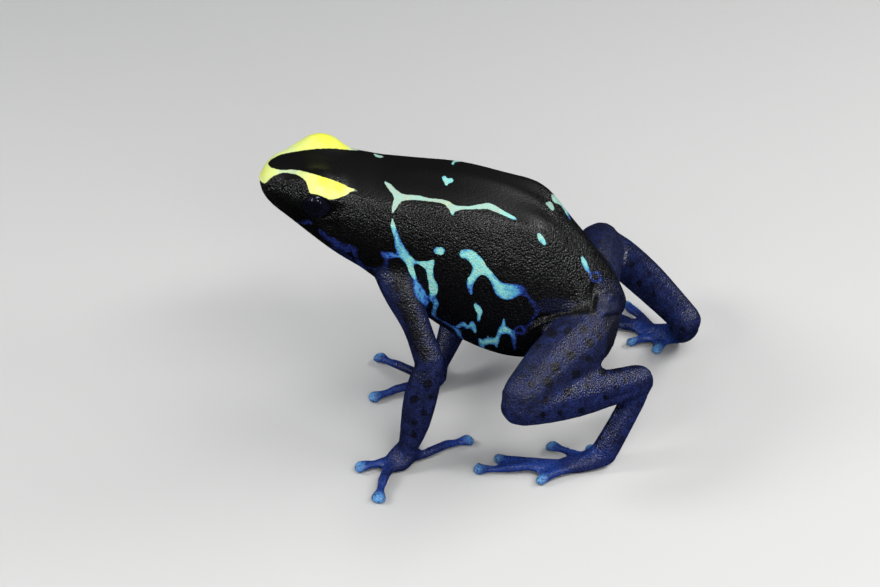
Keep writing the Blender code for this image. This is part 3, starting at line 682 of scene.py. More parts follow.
NET_LINES = {
    "back_line": (
        (385.3, 182.2, 0.9, 0.37), (389, 186, 2.3, 0.36), (394, 191.5, 2.8, 0.36), (399, 197, 4.2, 0.35),
        (405, 197.4, 3, 0.35), (413, 197.4, 2.4, 0.36), (420, 198.2, 2.2, 0.37), (428, 199.6, 1.6, 0.37),
        (436, 200.5, 1.6, 0.36), (443, 201.6, 2, 0.34), (448, 204, 2.6, 0.34), (453, 208, 3.2, 0.36),
        (461, 207.8, 1.9, 0.38), (470, 207.6, 1.6, 0.38), (480, 206.6, 2.4, 0.37), (488, 206, 3, 0.37),
        (494, 208.2, 2.9, 0.37), (501, 211.8, 2.2, 0.39), (508, 215.2, 1.9, 0.42),
        (513, 217.8, 1.7, 0.45), (516, 219.4, 0.9, 0.46),
    ),
    "back_line_nub": ((452.5, 207, 3, 0.36), (452.2, 211, 2.2, 0.38), (452.6, 213.9, 1.2, 0.42)),
    "neck_drop": (
        (398.5, 197, 4, 0.35), (396.4, 202.5, 3.2, 0.35), (394.2, 207.5, 2.3, 0.36),
        (392.7, 212, 0.9, 0.38),
    ),
    "shoulder_strand": (
        (392.5, 219, 0.6, 0.4), (392.8, 225, 2.1, 0.42), (394.6, 231, 2.4, 0.46), (397, 238, 2.7, 0.5),
        (398.8, 245, 3.9, 0.53), (401.6, 251, 5, 0.53), (405, 256, 4.6, 0.5), (409, 260, 4.2, 0.46),
        (413, 262, 2.6, 0.46), (418, 262.3, 1.2, 0.47),
    ),
    "shoulder_blob": (
        (402, 254, 3.6, 0.53), (396, 255.3, 2.3, 0.58), (390, 255.6, 3.5, 0.66), (385.5, 255, 3.3, 0.68),
        (381.5, 252.9, 1.3, 0.66),
    ),
    "arm_strand": (
        (409, 261, 3.8, 0.44), (410.4, 267, 3, 0.44), (412.4, 273, 2.6, 0.44), (414.2, 278, 2.4, 0.47),
        (415.5, 282, 2, 0.63), (417, 286.5, 3.2, 0.66), (419, 291, 4.2, 0.68), (421.5, 295, 4.6, 0.7),
        (425, 298, 3, 0.72), (428, 299, 1.6, 0.7),
    ),
    "armpit_triangle": (
        (419, 262.8, 1.4, 0.45), (424, 264.2, 2.8, 0.45), (428.6, 265.4, 4.6, 0.44),
        (431.6, 262.8, 2.6, 0.44), (433.4, 260.6, 0.9, 0.44),
    ),
    "armpit_strand": (
        (428.8, 266, 4.2, 0.44), (429.6, 271, 3.5, 0.44), (430.4, 276, 3.1, 0.44),
        (431.4, 281, 3.2, 0.44), (433.2, 286, 4.5, 0.44), (433.6, 291.5, 3.9, 0.44),
        (432.4, 296.5, 2.9, 0.53), (434.4, 300.5, 2.9, 0.58), (436, 304, 2.9, 0.56),
        (434.6, 309, 2.1, 0.54), (433.6, 313.6, 2.3, 0.57), (435, 317, 1, 0.62),
    ),
    "armpit_link": ((424, 296.5, 1.6, 0.7), (428, 297, 1.4, 0.66), (432, 296.5, 1.6, 0.6)),
    "flank_dot": ((437, 250.4, 3.4, 0.47), (441.2, 251.2, 3.7, 0.46)),
    "flank_branch": (
        (463.5, 253.8, 4.1, 0.46), (469, 254.6, 5.2, 0.46), (474, 258.5, 5.6, 0.46),
        (478, 263.5, 6.3, 0.45), (480.5, 268, 6.2, 0.44), (485.5, 271, 4.1, 0.45), (490, 275, 3.3, 0.46),
        (494, 280, 3.6, 0.5), (497.5, 285.5, 5, 0.5), (502, 290, 7.2, 0.495), (507, 291.6, 8.1, 0.5),
        (513, 291, 6.8, 0.56), (518, 290, 6, 0.66), (522, 290.4, 4.4, 0.8), (526, 294.4, 2.3, 0.84),
        (530, 299.2, 1.8, 0.88), (533.6, 303.6, 2.6, 0.86), (537, 308.6, 2.2, 0.92),
    ),
    "flank_leg": (
        (477, 270, 4.6, 0.45), (474.5, 275.5, 3.8, 0.46), (471, 280.5, 3.8, 0.48), (469.8, 286, 3, 0.56),
        (470.5, 290.5, 2.1, 0.6), (471.3, 293.8, 0.9, 0.52),
    ),
    "hip_dot": ((538.9, 234.6, 1.8, 0.42), (541.3, 239, 2.9, 0.43), (544.6, 243.6, 1.6, 0.46)),
    "belly_drop": (
        (475.6, 304.6, 1.8, 0.47), (478, 308.6, 2.9, 0.46), (479.6, 311.8, 2.8, 0.46),
        (479, 316.5, 1.7, 0.48), (478.6, 320.6, 1.2, 0.5),
    ),
    "belly_thread": (
        (435, 317, 0.9, 0.62), (440, 320.2, 0.8, 0.7), (445, 322.6, 1.1, 0.66), (450.5, 325.8, 1.2, 0.66),
        (455, 328.4, 1.8, 0.6), (458.5, 332.2, 2.3, 0.56), (459.8, 335, 1.6, 0.58),
        (463, 339.6, 0.6, 0.6),
    ),
    "belly_hook": (
        (455, 328.4, 1.6, 0.6), (459, 326, 1.9, 0.58), (463, 324.2, 2.3, 0.53), (466.2, 326.4, 1.8, 0.52),
        (470, 326.6, 2.2, 0.5), (472, 323.2, 1.9, 0.5), (473.6, 327.4, 2.4, 0.5), (475.2, 332, 1.3, 0.5),
    ),
    "belly_bar": (
        (479.4, 339.6, 1.4, 0.5), (482.4, 342.8, 3.2, 0.52), (487, 341.4, 3.2, 0.5), (492, 341, 3.1, 0.5),
        (496.2, 341, 3.2, 0.5), (497.6, 337.4, 2, 0.5), (499.6, 333.2, 2.4, 0.5), (503, 329.6, 4.2, 0.5),
        (507.4, 330.6, 3.2, 0.5), (511, 333, 2.5, 0.55), (513.8, 337, 2.8, 0.66), (514, 342, 2.3, 0.7),
        (514.6, 349, 1.5, 0.72),
    ),
    "belly_bar_foot": ((482, 343, 2.8, 0.52), (482, 347.6, 2.3, 0.56), (483, 352, 0.8, 0.6)),
    "belly_bar_toe": ((496, 342, 2.2, 0.5), (496.5, 346.6, 1.3, 0.5)),
    "belly_bar_nub": ((488, 340, 1.6, 0.5), (488, 337, 1.1, 0.5)),
    "belly_peak": ((503, 328, 3.2, 0.5), (503.6, 323.4, 1.8, 0.5), (503.8, 319.4, 0.8, 0.5)),
    "groin_thread": (
        (513, 333, 1.9, 0.62), (515.5, 329.4, 1.2, 0.7), (520, 326.6, 1.3, 0.74),
        (524.4, 329.6, 2.3, 0.76), (523, 333, 2.2, 0.8), (518, 333, 1.4, 0.74),
    ),
    "groin_strand": (
        (526, 327.5, 1.5, 0.8), (529.5, 323.6, 1.4, 0.86), (533, 318.6, 1.8, 0.9),
        (536.4, 312.6, 2.2, 0.92), (538, 308, 2.2, 0.92),
    ),
    "back_star": ((444, 177.8, 2.1, 0.42), (446.8, 180.8, 2.6, 0.42), (451, 180.3, 2.3, 0.42)),
    "back_star_foot": ((446.8, 181, 2.4, 0.42), (446.4, 183.8, 1.7, 0.42)),
    "far_neck": ((374.4, 154.4, 0.8, 0.37), (378, 156.2, 1.2, 0.37), (382.6, 156.8, 0.7, 0.38)),
    "far_back": (
        (452.9, 163.6, 1.3, 0.42), (454.2, 161.6, 1.1, 0.42), (458, 161, 0.7, 0.4),
        (462, 161.4, 0.4, 0.4),
    ),
    "far_hip_dot": ((547, 203.4, 1.2, 0.38), (550, 204.6, 2.7, 0.38), (552.6, 209, 1.6, 0.39)),
    "far_hip": (
        (552.8, 195.4, 1.2, 0.38), (555.6, 199.4, 3.2, 0.38), (560, 202.2, 2.2, 0.39),
        (563.6, 207, 1.3, 0.4), (567.4, 214, 1.1, 0.46), (570, 219, 0.8, 0.6),
    ),
    "rump": (
        (582.4, 257.6, 1.3, 0.46), (584.4, 262.6, 2.6, 0.46), (587, 268.6, 2, 0.48),
        (590, 273, 1.3, 0.62), (592, 279.6, 1.5, 0.74), (596.4, 281.6, 1.6, 0.76),
        (600.4, 279.4, 1.7, 0.7), (600.6, 275.4, 1.2, 0.7), (597.4, 272.6, 1.7, 0.72),
        (592.4, 273, 0.9, 0.7),
    ),
    "jaw": ((297, 223, 0.8, 0.95), (302, 222.4, 2, 0.94), (308, 221.8, 2.6, 0.95), (312, 223.5, 1, 0.97)),
    "throat": (
        (319, 229, 0.9, 0.9), (322.4, 233.4, 2.6, 0.87), (326.6, 237.6, 2.6, 0.88),
        (331.4, 240, 3.2, 0.84), (336, 243.4, 4.2, 0.86), (342, 246.6, 4.2, 0.9),
        (348.4, 248.6, 4.4, 0.88), (354, 249.6, 3.4, 0.88), (355.4, 254.6, 2.4, 0.88),
        (356.8, 259.6, 2.3, 0.86), (359.4, 263.2, 2.4, 0.8), (363.6, 267, 1.8, 0.9),
        (370, 268.8, 1.4, 0.92), (377, 270, 1.9, 0.93), (382.4, 270.6, 2.4, 0.93),
    ),
    "throat_edge": (
        (330, 247.5, 0.8, 0.96), (341, 252, 2, 0.95), (350, 259, 1.8, 0.95), (357, 266, 1.6, 0.95),
    ),
    "collar": (
        (386.4, 258.5, 2.2, 0.76), (385.4, 264, 2.4, 0.88), (384.6, 269, 2.8, 0.9),
        (388.4, 273.4, 2.6, 0.92), (390.6, 279.4, 2.6, 0.92), (391.4, 286, 3, 0.92),
    ),
}
LINE_MARGIN = 14
NO_MARK = (-40.0, 0.5, 20.0)
BROAD = 20.0
RIM_SIGHT = (0.0, -0.3)
RIM_FADE = 6.0
HIDDEN_FADE = 40.0
NEAR_HIDDEN = (-0.35, -0.6)
FAR_HIDDEN = (-0.25, 0.0)
FAR_SHIFT = np.array((3.0, -7.0))
FAR_WANDER = 5.0
FAR_WANDER_SIZE = 6 * MM
SNOUT = (-14.0 * MM, -17.5 * MM)
THIN_MARK = 2.6
FINE_EDGE = 1.6
FINE_MARK_LEVEL = 8 * MM
LIMB_EDGE = (-0.5 * MM, 0.7 * MM)
LIMB_FADE = 8.0


def line_mark(places, nodes):
    """How far inside a swelling line each place lies, in pixels, its tint and half width."""
    distance, half_width, tint = line_values(places, nodes)
    inside = half_width - distance
    best = np.argmax(inside, axis=1)
    rows = np.arange(len(places))
    return np.array([values[rows, best] for values in (inside, tint, half_width)])


def outline_depth(places, outline):
    """How far inside a closed outline each place lies, in pixels."""
    line = smooth_line(outline, closed=True)
    ring = np.vstack((line, line[:1]))
    distance, _ = nearest_on_line(places, ring)
    x, y = places[:, 0][:, None], places[:, 1][:, None]
    x0, y0, x1, y1 = ring[:-1, 0], ring[:-1, 1], ring[1:, 0], ring[1:, 1]
    crosses = (y0 > y) != (y1 > y)
    rise = np.where(y1 == y0, 1e-9, y1 - y0)
    crossing = x0 + (y - y0) / rise * (x1 - x0)
    inside = np.sum(crosses & (x < crossing), axis=1) % 2 == 1
    return np.where(inside, 1.0, -1.0) * distance.min(axis=1)


def lay_over(fields, rows, mark):
    """Puts a mark over the ones before it, in the given rows, wherever it lies deeper."""
    better = mark[0] > fields[0, rows]
    fields[:, rows[better]] = mark[:, better]


def mark_fields(places):
    """Depth inside the nearest mark in pixels, its tint and its half width."""
    fields = np.repeat(np.array(NO_MARK)[:, None], len(places), axis=1)
    for nodes in NET_LINES.values():
        line_places = np.array(nodes)[:, :2]
        low = line_places.min(axis=0) - LINE_MARGIN
        high = line_places.max(axis=0) + LINE_MARGIN
        near = np.flatnonzero(np.all((places > low) & (places < high), axis=1))
        if len(near):
            lay_over(fields, near, line_mark(places[near], nodes))
    near = np.flatnonzero(np.all(places < YELLOW_LIMIT, axis=1))
    guides = np.array(YELLOW_TINTS)
    spread = np.linalg.norm(places[near][:, None, :] - guides[:, :2], axis=2)
    weights = 1 / (spread**2 + TINT_REACH**2) ** 1.5
    tint = weights @ guides[:, 2] / weights.sum(axis=1)
    depth = outline_depth(places[near], YELLOW_OUTLINE)
    lay_over(fields, near, np.array((depth, tint, np.full(len(near), BROAD))))
    return fields


def wander(points):
    """A slow random drift of places over the skin, the same in every run."""
    drift = np.array([noise.noise_vector(Vector(point / FAR_WANDER_SIZE)) for point in points])
    return drift[:, :2] * FAR_WANDER


def body_marks(points, normals):
    """Marks over head and trunk: as seen on the left side, and the like on the right."""
    places, seen = side_view(points, normals)
    fields = mark_fields(places)
    fields[0] -= RIM_FADE * soft_step(*RIM_SIGHT, seen) + HIDDEN_FADE * soft_step(*NEAR_HIDDEN, seen)
    places, far_seen = side_view(points, normals, True)
    off_snout = 1 - soft_step(*SNOUT, points[:, 0])[:, None]
    far = mark_fields(places + (FAR_SHIFT + wander(points)) * off_snout)
    far[0] -= RIM_FADE * soft_step(*RIM_SIGHT, far_seen) + HIDDEN_FADE * soft_step(*FAR_HIDDEN, seen)
    lay_over(fields, np.arange(len(points)), far)
    return fields, seen, far_seen


def store(mesh, name, values):
    attribute = mesh.attributes.new(name, "FLOAT", "POINT")
    attribute.data.foreach_set("value", values.astype(np.float32))


centres = read_rows(skin.data.polygons, "center")
(depth, _, width), _, _ = body_marks(centres, read_rows(skin.data.polygons, "normal"))
thin_edge = (np.abs(depth) < FINE_EDGE) & (width < THIN_MARK)
refine_faces(skin, thin_edge & (centres[:, 2] > FINE_MARK_LEVEL))

skin_points = points_of(skin.data)
skin_normals = normals_of(skin.data)
fields, seen, far_seen = body_marks(skin_points, skin_normals)
distances, body_distance, limb_distance = part_distances(skin_points)
on_limb = soft_step(*LIMB_EDGE, body_distance - limb_distance)
fields[0] -= LIMB_FADE * soft_step(0.3, 0.9, on_limb)

# A pale blue mark runs from the shoulder down the near upper arm.
ARM_MARK = (
    (414.5, 278.5, 1.4, 0.56), (417, 284, 3.8, 0.59), (420, 290, 6.2, 0.61), (424, 296, 7.2, 0.63),
    (428, 302, 5.2, 0.68), (430, 308, 3, 0.74), (431.5, 314, 1, 0.8),
)
ARM_MARK_EDGE = (0.2 * MM, 0.9 * MM)
ARM_MARK_SIGHT = (0.1, -0.1)
ARM_MARK_FADE = 12.0

places = picture_place(skin_points)
arm_mark = line_mark(places, ARM_MARK)
arm_mark[0] -= ARM_MARK_FADE * soft_step(*ARM_MARK_EDGE, distances["upper_arm_left"])
arm_mark[0] -= ARM_MARK_FADE * soft_step(*ARM_MARK_SIGHT, seen)
lay_over(fields, np.arange(len(skin_points)), arm_mark)
depth, tint, _ = fields

# Round black spots lie on the blue limbs: those of the near legs as the picture shows
# them, by place and radius in pixels, and the others strewn evenly.
NEAR_SPOTS = {
    "thigh_left": (
        (552, 333, 5.5), (568, 331, 5), (584, 329, 4.2), (590, 343, 5), (571, 356, 5), (589, 359, 4),
        (555, 367, 5.5), (576, 374, 5), (548, 382, 6), (531, 384, 4.5), (538, 346, 3.5), (600, 336, 4),
    ),
    "shank_left": (
        (544, 400, 4.5), (568, 392, 5), (588, 386, 3), (603, 372, 4.5), (617, 368, 5), (633, 365, 4),
        (543, 414, 3.5), (581, 411, 3.5), (560, 413, 3), (606, 398, 3), (520, 397, 3.5), (626, 380, 3),
    ),
    "upper_arm_left": ((413, 317, 5), (417, 301, 4.5), (420, 334, 5), (427, 350, 4.5)),
    "forearm_left": (
        (427, 384, 5), (414, 399, 4.5), (424, 413, 3.5), (415, 423, 3.5), (414, 435, 3.5), (431, 397, 3),
    ),
    "tarsus_left": ((617, 408, 3), (608, 424, 3), (624, 398, 2.6), (602, 438, 2.6)),
}
SPOT_SKIN = 0.8 * MM
SPOT_SIGHT = 0.05
SPOT_SPACING = 2.5 * MM
SPOT_RADII = (0.26 * MM, 0.55 * MM)
SPOT_LEVEL = 1.6 * MM
ON_LIMB = 0.4 * MM
OFF_BODY = 1.0 * MM
NO_SPOT = -1.0 * MM

draw = np.random.default_rng(7)
spot_depth = np.full(len(skin_points), NO_SPOT)
in_view = np.zeros(len(skin_points), bool)
for piece, spots in NEAR_SPOTS.items():
    own = (distances[piece] < SPOT_SKIN) & (seen > SPOT_SIGHT)
    in_view |= own
    own = np.flatnonzero(own)
    for x, y, radius in spots:
        inside = (radius - distance_from(places[own], np.array((x, y)))) / PIXELS_PER_MM * MM
        spot_depth[own] = np.maximum(spot_depth[own], inside)
free = (limb_distance < ON_LIMB) & (body_distance > OFF_BODY) & (skin_points[:, 2] > SPOT_LEVEL)
free = draw.permutation(np.flatnonzero(free & ~in_view))
placed = []
for index in free:
    spot = skin_points[index]
    if placed and np.min(distance_from(np.array(placed), spot)) < SPOT_SPACING:
        continue
    placed.append(spot)
    inside = draw.uniform(*SPOT_RADII) - distance_from(skin_points, spot)
    spot_depth = np.where(in_view, spot_depth, np.maximum(spot_depth, inside))

# Blue skin covers limbs and vent and hazes into the groins; the upper arms are black in
# front, and so is the skin above the near thigh. Behind the near thigh the blue is painted
# darker as painted shade. Blueness is 0 on black skin and 1 on blue skin, and hands and feet are brighter.
LIMB_BLUENESS = {
    "upper_arm": 0.7, "forearm": 0.8, "hand": 1.0,
    "thigh": 0.75, "shank": 0.85, "tarsus": 0.95, "foot": 1.0,
}
PART_EDGE = (1.1 * MM, 0.1 * MM)
BLUE_EDGE = (-1.1 * MM, 1.2 * MM)
VENT = (17.5 * MM, 20.5 * MM)
VENT_BLUENESS = 0.8
HAZE_LINES = (
    ((541, 306, 3, 0), (552, 305, 5, 0), (566, 306, 4, 0), (580, 309, 3, 0)),
    ((603, 284, 3, 0), (612, 292, 9, 0), (618, 304, 9, 0)),
)
HAZE_EDGE = (-7.0, 2.0)
HAZE_SIGHT = (-0.4, 0.1)
HAZE_BLUENESS = 0.32
SIGHT = (-0.1, 0.2)
DARK_ARM_LINE = (
    (396, 266, 6.5, 0), (402, 290, 8, 0), (410, 318, 7.5, 0), (418, 342, 6.5, 0), (425, 358, 4, 0),
)
DARK_ARM_EDGE = (-3.0, 2.5)
DARK_ARM_SKIN = (0.9 * MM, 0.2 * MM)
DARK_ARM_SHARE = 0.8
ABOVE_THIGH = (
    (524, 345), (530, 332.5), (540, 324.5), (549, 320.5), (560, 317.5), (574, 315.5), (588, 315),
    (596, 314), (598, 300), (597, 286), (600, 272), (590, 255), (560, 262), (520, 300), (505, 340),
)
# Behind the near thigh the blue is painted darker, as painted shade.
PAINTED_SHADE_BEHIND_THIGH = ((605, 314), (626, 311), (636, 330), (618, 354), (606, 354), (605, 338), (606, 325))
HIP_SKIN = (2 * MM, 1 * MM)
HIP_EDGE = (-3.0, 3.0)

body_share = 1 - on_limb
wide_limb = soft_step(*BLUE_EDGE, body_distance - limb_distance)
blue = body_share * VENT_BLUENESS * soft_step(*VENT, skin_points[:, 0])
for side in SIDES:
    for piece, share in LIMB_BLUENESS.items():
        near = soft_step(*PART_EDGE, distances[f"{piece}_{side}"])
        blue = np.maximum(blue, near * share * wide_limb)
in_sight = soft_step(*SIGHT, seen)
on_arm = in_sight * soft_step(*DARK_ARM_SKIN, distances["upper_arm_left"])
blue *= 1 - DARK_ARM_SHARE * on_arm * soft_step(*DARK_ARM_EDGE, line_mark(places, DARK_ARM_LINE)[0])
on_hip = in_sight * soft_step(*HIP_SKIN, np.minimum(distances["thigh_left"], distances["torso"]))
# The skin above the near thigh is black; behind the thigh the blue is darkened as painted shade.
for region, share in ((ABOVE_THIGH, 0.95), (PAINTED_SHADE_BEHIND_THIGH, 0.7)):
    blue *= 1 - share * on_hip * soft_step(*HIP_EDGE, outline_depth(places, region))
for flip in (False, True):
    side_places, side_seen = side_view(skin_points, skin_normals, flip)
    shown = HAZE_BLUENESS * body_share * soft_step(*HAZE_SIGHT, side_seen)
    for nodes in HAZE_LINES:
        blue = np.maximum(blue, shown * soft_step(*HAZE_EDGE, line_mark(side_places, nodes)[0]))

GLOW_MARGIN = 0.3 * MM
GLOW_LEVEL = 3 * MM
DIGIT_GLOW = (6.0 * MM, 2.0 * MM)
TIP_GLOW = (1.5 * MM, 0.2 * MM)
TIP_GLOW_SHARE = 0.58

bright = np.zeros(len(skin_points))
for foot, tips in DIGIT_TIPS.items():
    low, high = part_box(foot)
    low, high = np.array(low) - GLOW_MARGIN, np.array(high) + GLOW_MARGIN
    inside = np.all((skin_points > low) & (skin_points < high), axis=1)
    inside &= skin_points[:, 2] < GLOW_LEVEL
    reach = np.min([distance_from(skin_points[:, :2], np.array(tip) * MM) for tip in tips], axis=0)
    glow = (1 - TIP_GLOW_SHARE) * soft_step(*DIGIT_GLOW, reach)
    glow += TIP_GLOW_SHARE * soft_step(*TIP_GLOW, reach)
    bright = np.maximum(bright, glow * inside)

# The skin is smooth on the back, granular on the flanks, and a little less so on the limbs
# and on the pale marks. Satin is how rough its shine is.
BACK_GRAIN = 0.14
FLANK_GRAIN = 0.8
FLANK_SLOPE = (0.93, 0.62)
LIMB_GRAIN = 0.62
MARK_SMOOTHNESS = 0.8
BACK_SATIN = 0.38
SMOOTH_SATIN = 0.10
LIMB_SATIN = 0.40
SATIN_CHANGES = {"thigh_left": 0.12, "thigh_right": 0.12, "shank_left": -0.06, "tarsus_left": -0.06}
SATIN_EDGE = (0.9 * MM, 0.1 * MM)

grain = BACK_GRAIN + FLANK_GRAIN * soft_step(*FLANK_SLOPE, skin_normals[:, 2])
grain *= 1 - MARK_SMOOTHNESS * soft_step(-0.5, 1.5, depth) * soft_step(0.40, 0.25, tint)
satin = BACK_SATIN + SMOOTH_SATIN * (1 - grain)
satin += on_limb * (LIMB_SATIN - satin)
for piece, change in SATIN_CHANGES.items():
    satin += change * on_limb * soft_step(*SATIN_EDGE, distances[piece])
below = soft_step(0.1, -0.15, np.maximum(seen, far_seen))
store(skin.data, "blueness", blue)
store(skin.data, "digit_glow", bright)
store(skin.data, "mark_depth", depth / PIXELS_PER_MM)
store(skin.data, "mark_tint", tint)
store(skin.data, "belly", below * body_share)
store(skin.data, "spot_depth", spot_depth / MM)
store(skin.data, "grain", grain + on_limb * (LIMB_GRAIN - grain))
store(skin.data, "satin", satin)


# The skin's finish. Black skin is satin and smooth on the back and finely granular on the
# flanks; the limbs are deep blue under fine black freckles; the pale marks carry dark
# flecks where they turn blue. Sizes of patterns are in millimetres.
TINT_STEPS = (
    (0.00, (0.82, 0.85, 0.04)),
    (0.12, (0.83, 0.87, 0.13)),
    (0.24, (0.72, 0.86, 0.38)),
    (0.34, (0.37, 0.49, 0.39)),
    (0.46, (0.25, 0.64, 0.58)),
    (0.56, (0.085, 0.36, 0.52)),
    (0.68, (0.035, 0.15, 0.48)),
    (0.82, (0.009, 0.020, 0.15)),
    (1.00, (0.004, 0.006, 0.035)),
)
BLACK_SKIN = (0.0025, 0.0025, 0.0028, 1.0)
FLECK_BLUE = (0.008, 0.03, 0.20, 1.0)
BLUE_STEPS = ((0.30, (0.006, 0.008, 0.034)), (0.5, (0.010, 0.016, 0.076)), (0.70, (0.015, 0.028, 0.135)))
DIGIT_STEPS = ((0.0, (0.012, 0.02, 0.14)), (0.45, (0.015, 0.05, 0.27)), (1.0, (0.12, 0.33, 0.66)))
BELLY_STEPS = ((0.35, (0.05, 0.21, 0.6)), (0.6, (0.016, 0.05, 0.34)))
EDGE_WAVER_SIZE = 0.4
EDGE_WAVER = 0.14
TINT_DRIFT_SIZE = 0.6
TINT_DRIFT = 0.24
EDGE_BLUE = 0.15
FLECK_SIZE = 0.48
FLECK_SHARE = 0.8
BELLY_NET_SIZE = 4.2
BELLY_CLOUD_SIZE = 3.0
BLUE_CLOUD_SIZE = 1.3
SPOT_WAVER_SIZE = 0.35
SPOT_WAVER = 0.5
SPOT_SHARE = 0.8
FRECKLE_SIZE = 0.17
FRECKLE_SHARE = 0.85
BLUE_DRIFT_SIZE = 0.8
BLUE_DRIFT = 0.5
GRANULE_SIZE = 0.23
SWELLING_SIZE = 0.6
SWELLING_SHARE = 0.25
GRAIN_DEPTH = 0.12 * MM
WET_POINT_SIZE = 0.2
WET_POINT_SHINE = 0.25
SKIN_SPECULAR = 0.40


def add_node(tree, kind, inputs=None, **settings):
    """A shader node with its settings made and its inputs filled or linked."""
    node = tree.nodes.new(kind)
    for name, value in settings.items():
        setattr(node, name, value)
    for name, value in (inputs or {}).items():
        if isinstance(value, bpy.types.NodeSocket):
            tree.links.new(value, node.inputs[name])
        else:
            node.inputs[name].default_value = value
    return node


def attribute_value(tree, name):
    return add_node(tree, "ShaderNodeAttribute", attribute_name=name).outputs["Fac"]


def calculate(tree, operation, first, second=0.0, third=0.0):
    node = add_node(tree, "ShaderNodeMath", {0: first, 1: second, 2: third}, operation=operation)
    return node.outputs[0]


def add(tree, first, second):
    return calculate(tree, "ADD", first, second)


def times(tree, first, second):
    return calculate(tree, "MULTIPLY", first, second)


def ease(tree, value, low, high):
    """0 below the low value, 1 above the high one and a soft rise between."""
    limits = {"Value": value, "From Min": low, "From Max": high}
    node = add_node(tree, "ShaderNodeMapRange", limits, interpolation_type="SMOOTHSTEP")
    return node.outputs["Result"]


def blend_colours(tree, share, first, second):
    node = add_node(tree, "ShaderNodeMix", {0: share, 6: first, 7: second}, data_type="RGBA")
    return node.outputs[2]


def cloud(tree, place, size_mm, detail=2.0, roughness=0.5):
    values = {"Vector": place, "Scale": 1 / (size_mm * MM), "Detail": detail, "Roughness": roughness}
    return add_node(tree, "ShaderNodeTexNoise", values).outputs["Fac"]


def drift(tree, place, size_mm, amount, detail=2.0):
    """A cloud that swings evenly below and above 0, over the amount in all."""
    return calculate(tree, "MULTIPLY_ADD", cloud(tree, place, size_mm, detail), amount, -amount / 2)


def cells(tree, place, size_mm, feature="F1"):
    values = {"Vector": place, "Scale": 1 / (size_mm * MM)}
    return add_node(tree, "ShaderNodeTexVoronoi", values, feature=feature).outputs["Distance"]


def colour_steps(tree, value, steps):
    node = add_node(tree, "ShaderNodeValToRGB", {"Fac": value})
    ramp = node.color_ramp
    while len(ramp.elements) < len(steps):
        ramp.elements.new(0.5)
    for element, (position, colour) in zip(ramp.elements, steps):
        element.position = position
        element.color = (*colour, 1.0)
    return node.outputs["Color"]


skin_finish = bpy.data.materials.new("frog_skin")
skin_finish.use_nodes = True
tree = skin_finish.node_tree
shader = tree.nodes["Principled BSDF"]
place = add_node(tree, "ShaderNodeTexCoord").outputs["Object"]

# The freckled blue of the limbs, with round spots and brighter digits.
freckles = times(tree, ease(tree, cloud(tree, place, FRECKLE_SIZE, 1.0), 0.50, 0.66), FRECKLE_SHARE)
glow = attribute_value(tree, "digit_glow")
spot_edge = add(tree, attribute_value(tree, "spot_depth"), drift(tree, place, SPOT_WAVER_SIZE, SPOT_WAVER))
spots = times(tree, ease(tree, spot_edge, -0.08, 0.14), SPOT_SHARE)
limb_colour = colour_steps(tree, cloud(tree, place, BLUE_CLOUD_SIZE, 4.0, 0.65), BLUE_STEPS)
limb_colour = blend_colours(tree, spots, limb_colour, BLACK_SKIN)
digit_colour = colour_steps(tree, glow, DIGIT_STEPS)
limb_colour = blend_colours(tree, ease(tree, glow, 0.0, 0.5), limb_colour, digit_colour)
limb_colour = blend_colours(tree, freckles, limb_colour, BLACK_SKIN)

# The black ground, which turns blue on the limbs, and the net on the belly.
blueness = attribute_value(tree, "blueness")
limb_share = add(tree, blueness, drift(tree, place, BLUE_DRIFT_SIZE, BLUE_DRIFT, 3.0))
limb_share = times(tree, limb_share, ease(tree, blueness, 0.02, 0.2))
limb_share = add_node(tree, "ShaderNodeClamp", {"Value": limb_share}).outputs[0]
ground = blend_colours(tree, limb_share, BLACK_SKIN, limb_colour)
belly_net = ease(tree, cells(tree, place, BELLY_NET_SIZE, "DISTANCE_TO_EDGE"), 0.09, 0.06)
belly_net = times(tree, belly_net, attribute_value(tree, "belly"))
belly_colour = colour_steps(tree, cloud(tree, place, BELLY_CLOUD_SIZE), BELLY_STEPS)
ground = blend_colours(tree, belly_net, ground, belly_colour)

# The pale marks, bluer at their edges, with flecks and freckles where they are blue.
mark_depth = add(tree, attribute_value(tree, "mark_depth"), drift(tree, place, EDGE_WAVER_SIZE, EDGE_WAVER))
mark_tint = attribute_value(tree, "mark_tint")
tint_drift = times(
    tree, drift(tree, place, TINT_DRIFT_SIZE, TINT_DRIFT, 3.0), ease(tree, mark_tint, 0.2, 0.45)
)
mark_tint = add(tree, mark_tint, tint_drift)
edge_blue = times(tree, ease(tree, mark_depth, 0.28, 0.0), ease(tree, mark_tint, 0.38, 0.52))
mark_tint = calculate(tree, "MULTIPLY_ADD", edge_blue, EDGE_BLUE, mark_tint)
flecks = times(tree, ease(tree, cells(tree, place, FLECK_SIZE), 0.50, 0.26), FLECK_SHARE)
flecks = times(tree, flecks, ease(tree, mark_tint, 0.48, 0.66))
mark_colour = blend_colours(tree, flecks, colour_steps(tree, mark_tint, TINT_STEPS), FLECK_BLUE)
mark_freckles = times(tree, freckles, ease(tree, mark_tint, 0.66, 0.9))
mark_colour = blend_colours(tree, mark_freckles, mark_colour, BLACK_SKIN)
skin_colour = blend_colours(tree, ease(tree, mark_depth, -0.03, 0.04), ground, mark_colour)
tree.links.new(skin_colour, shader.inputs["Base Color"])

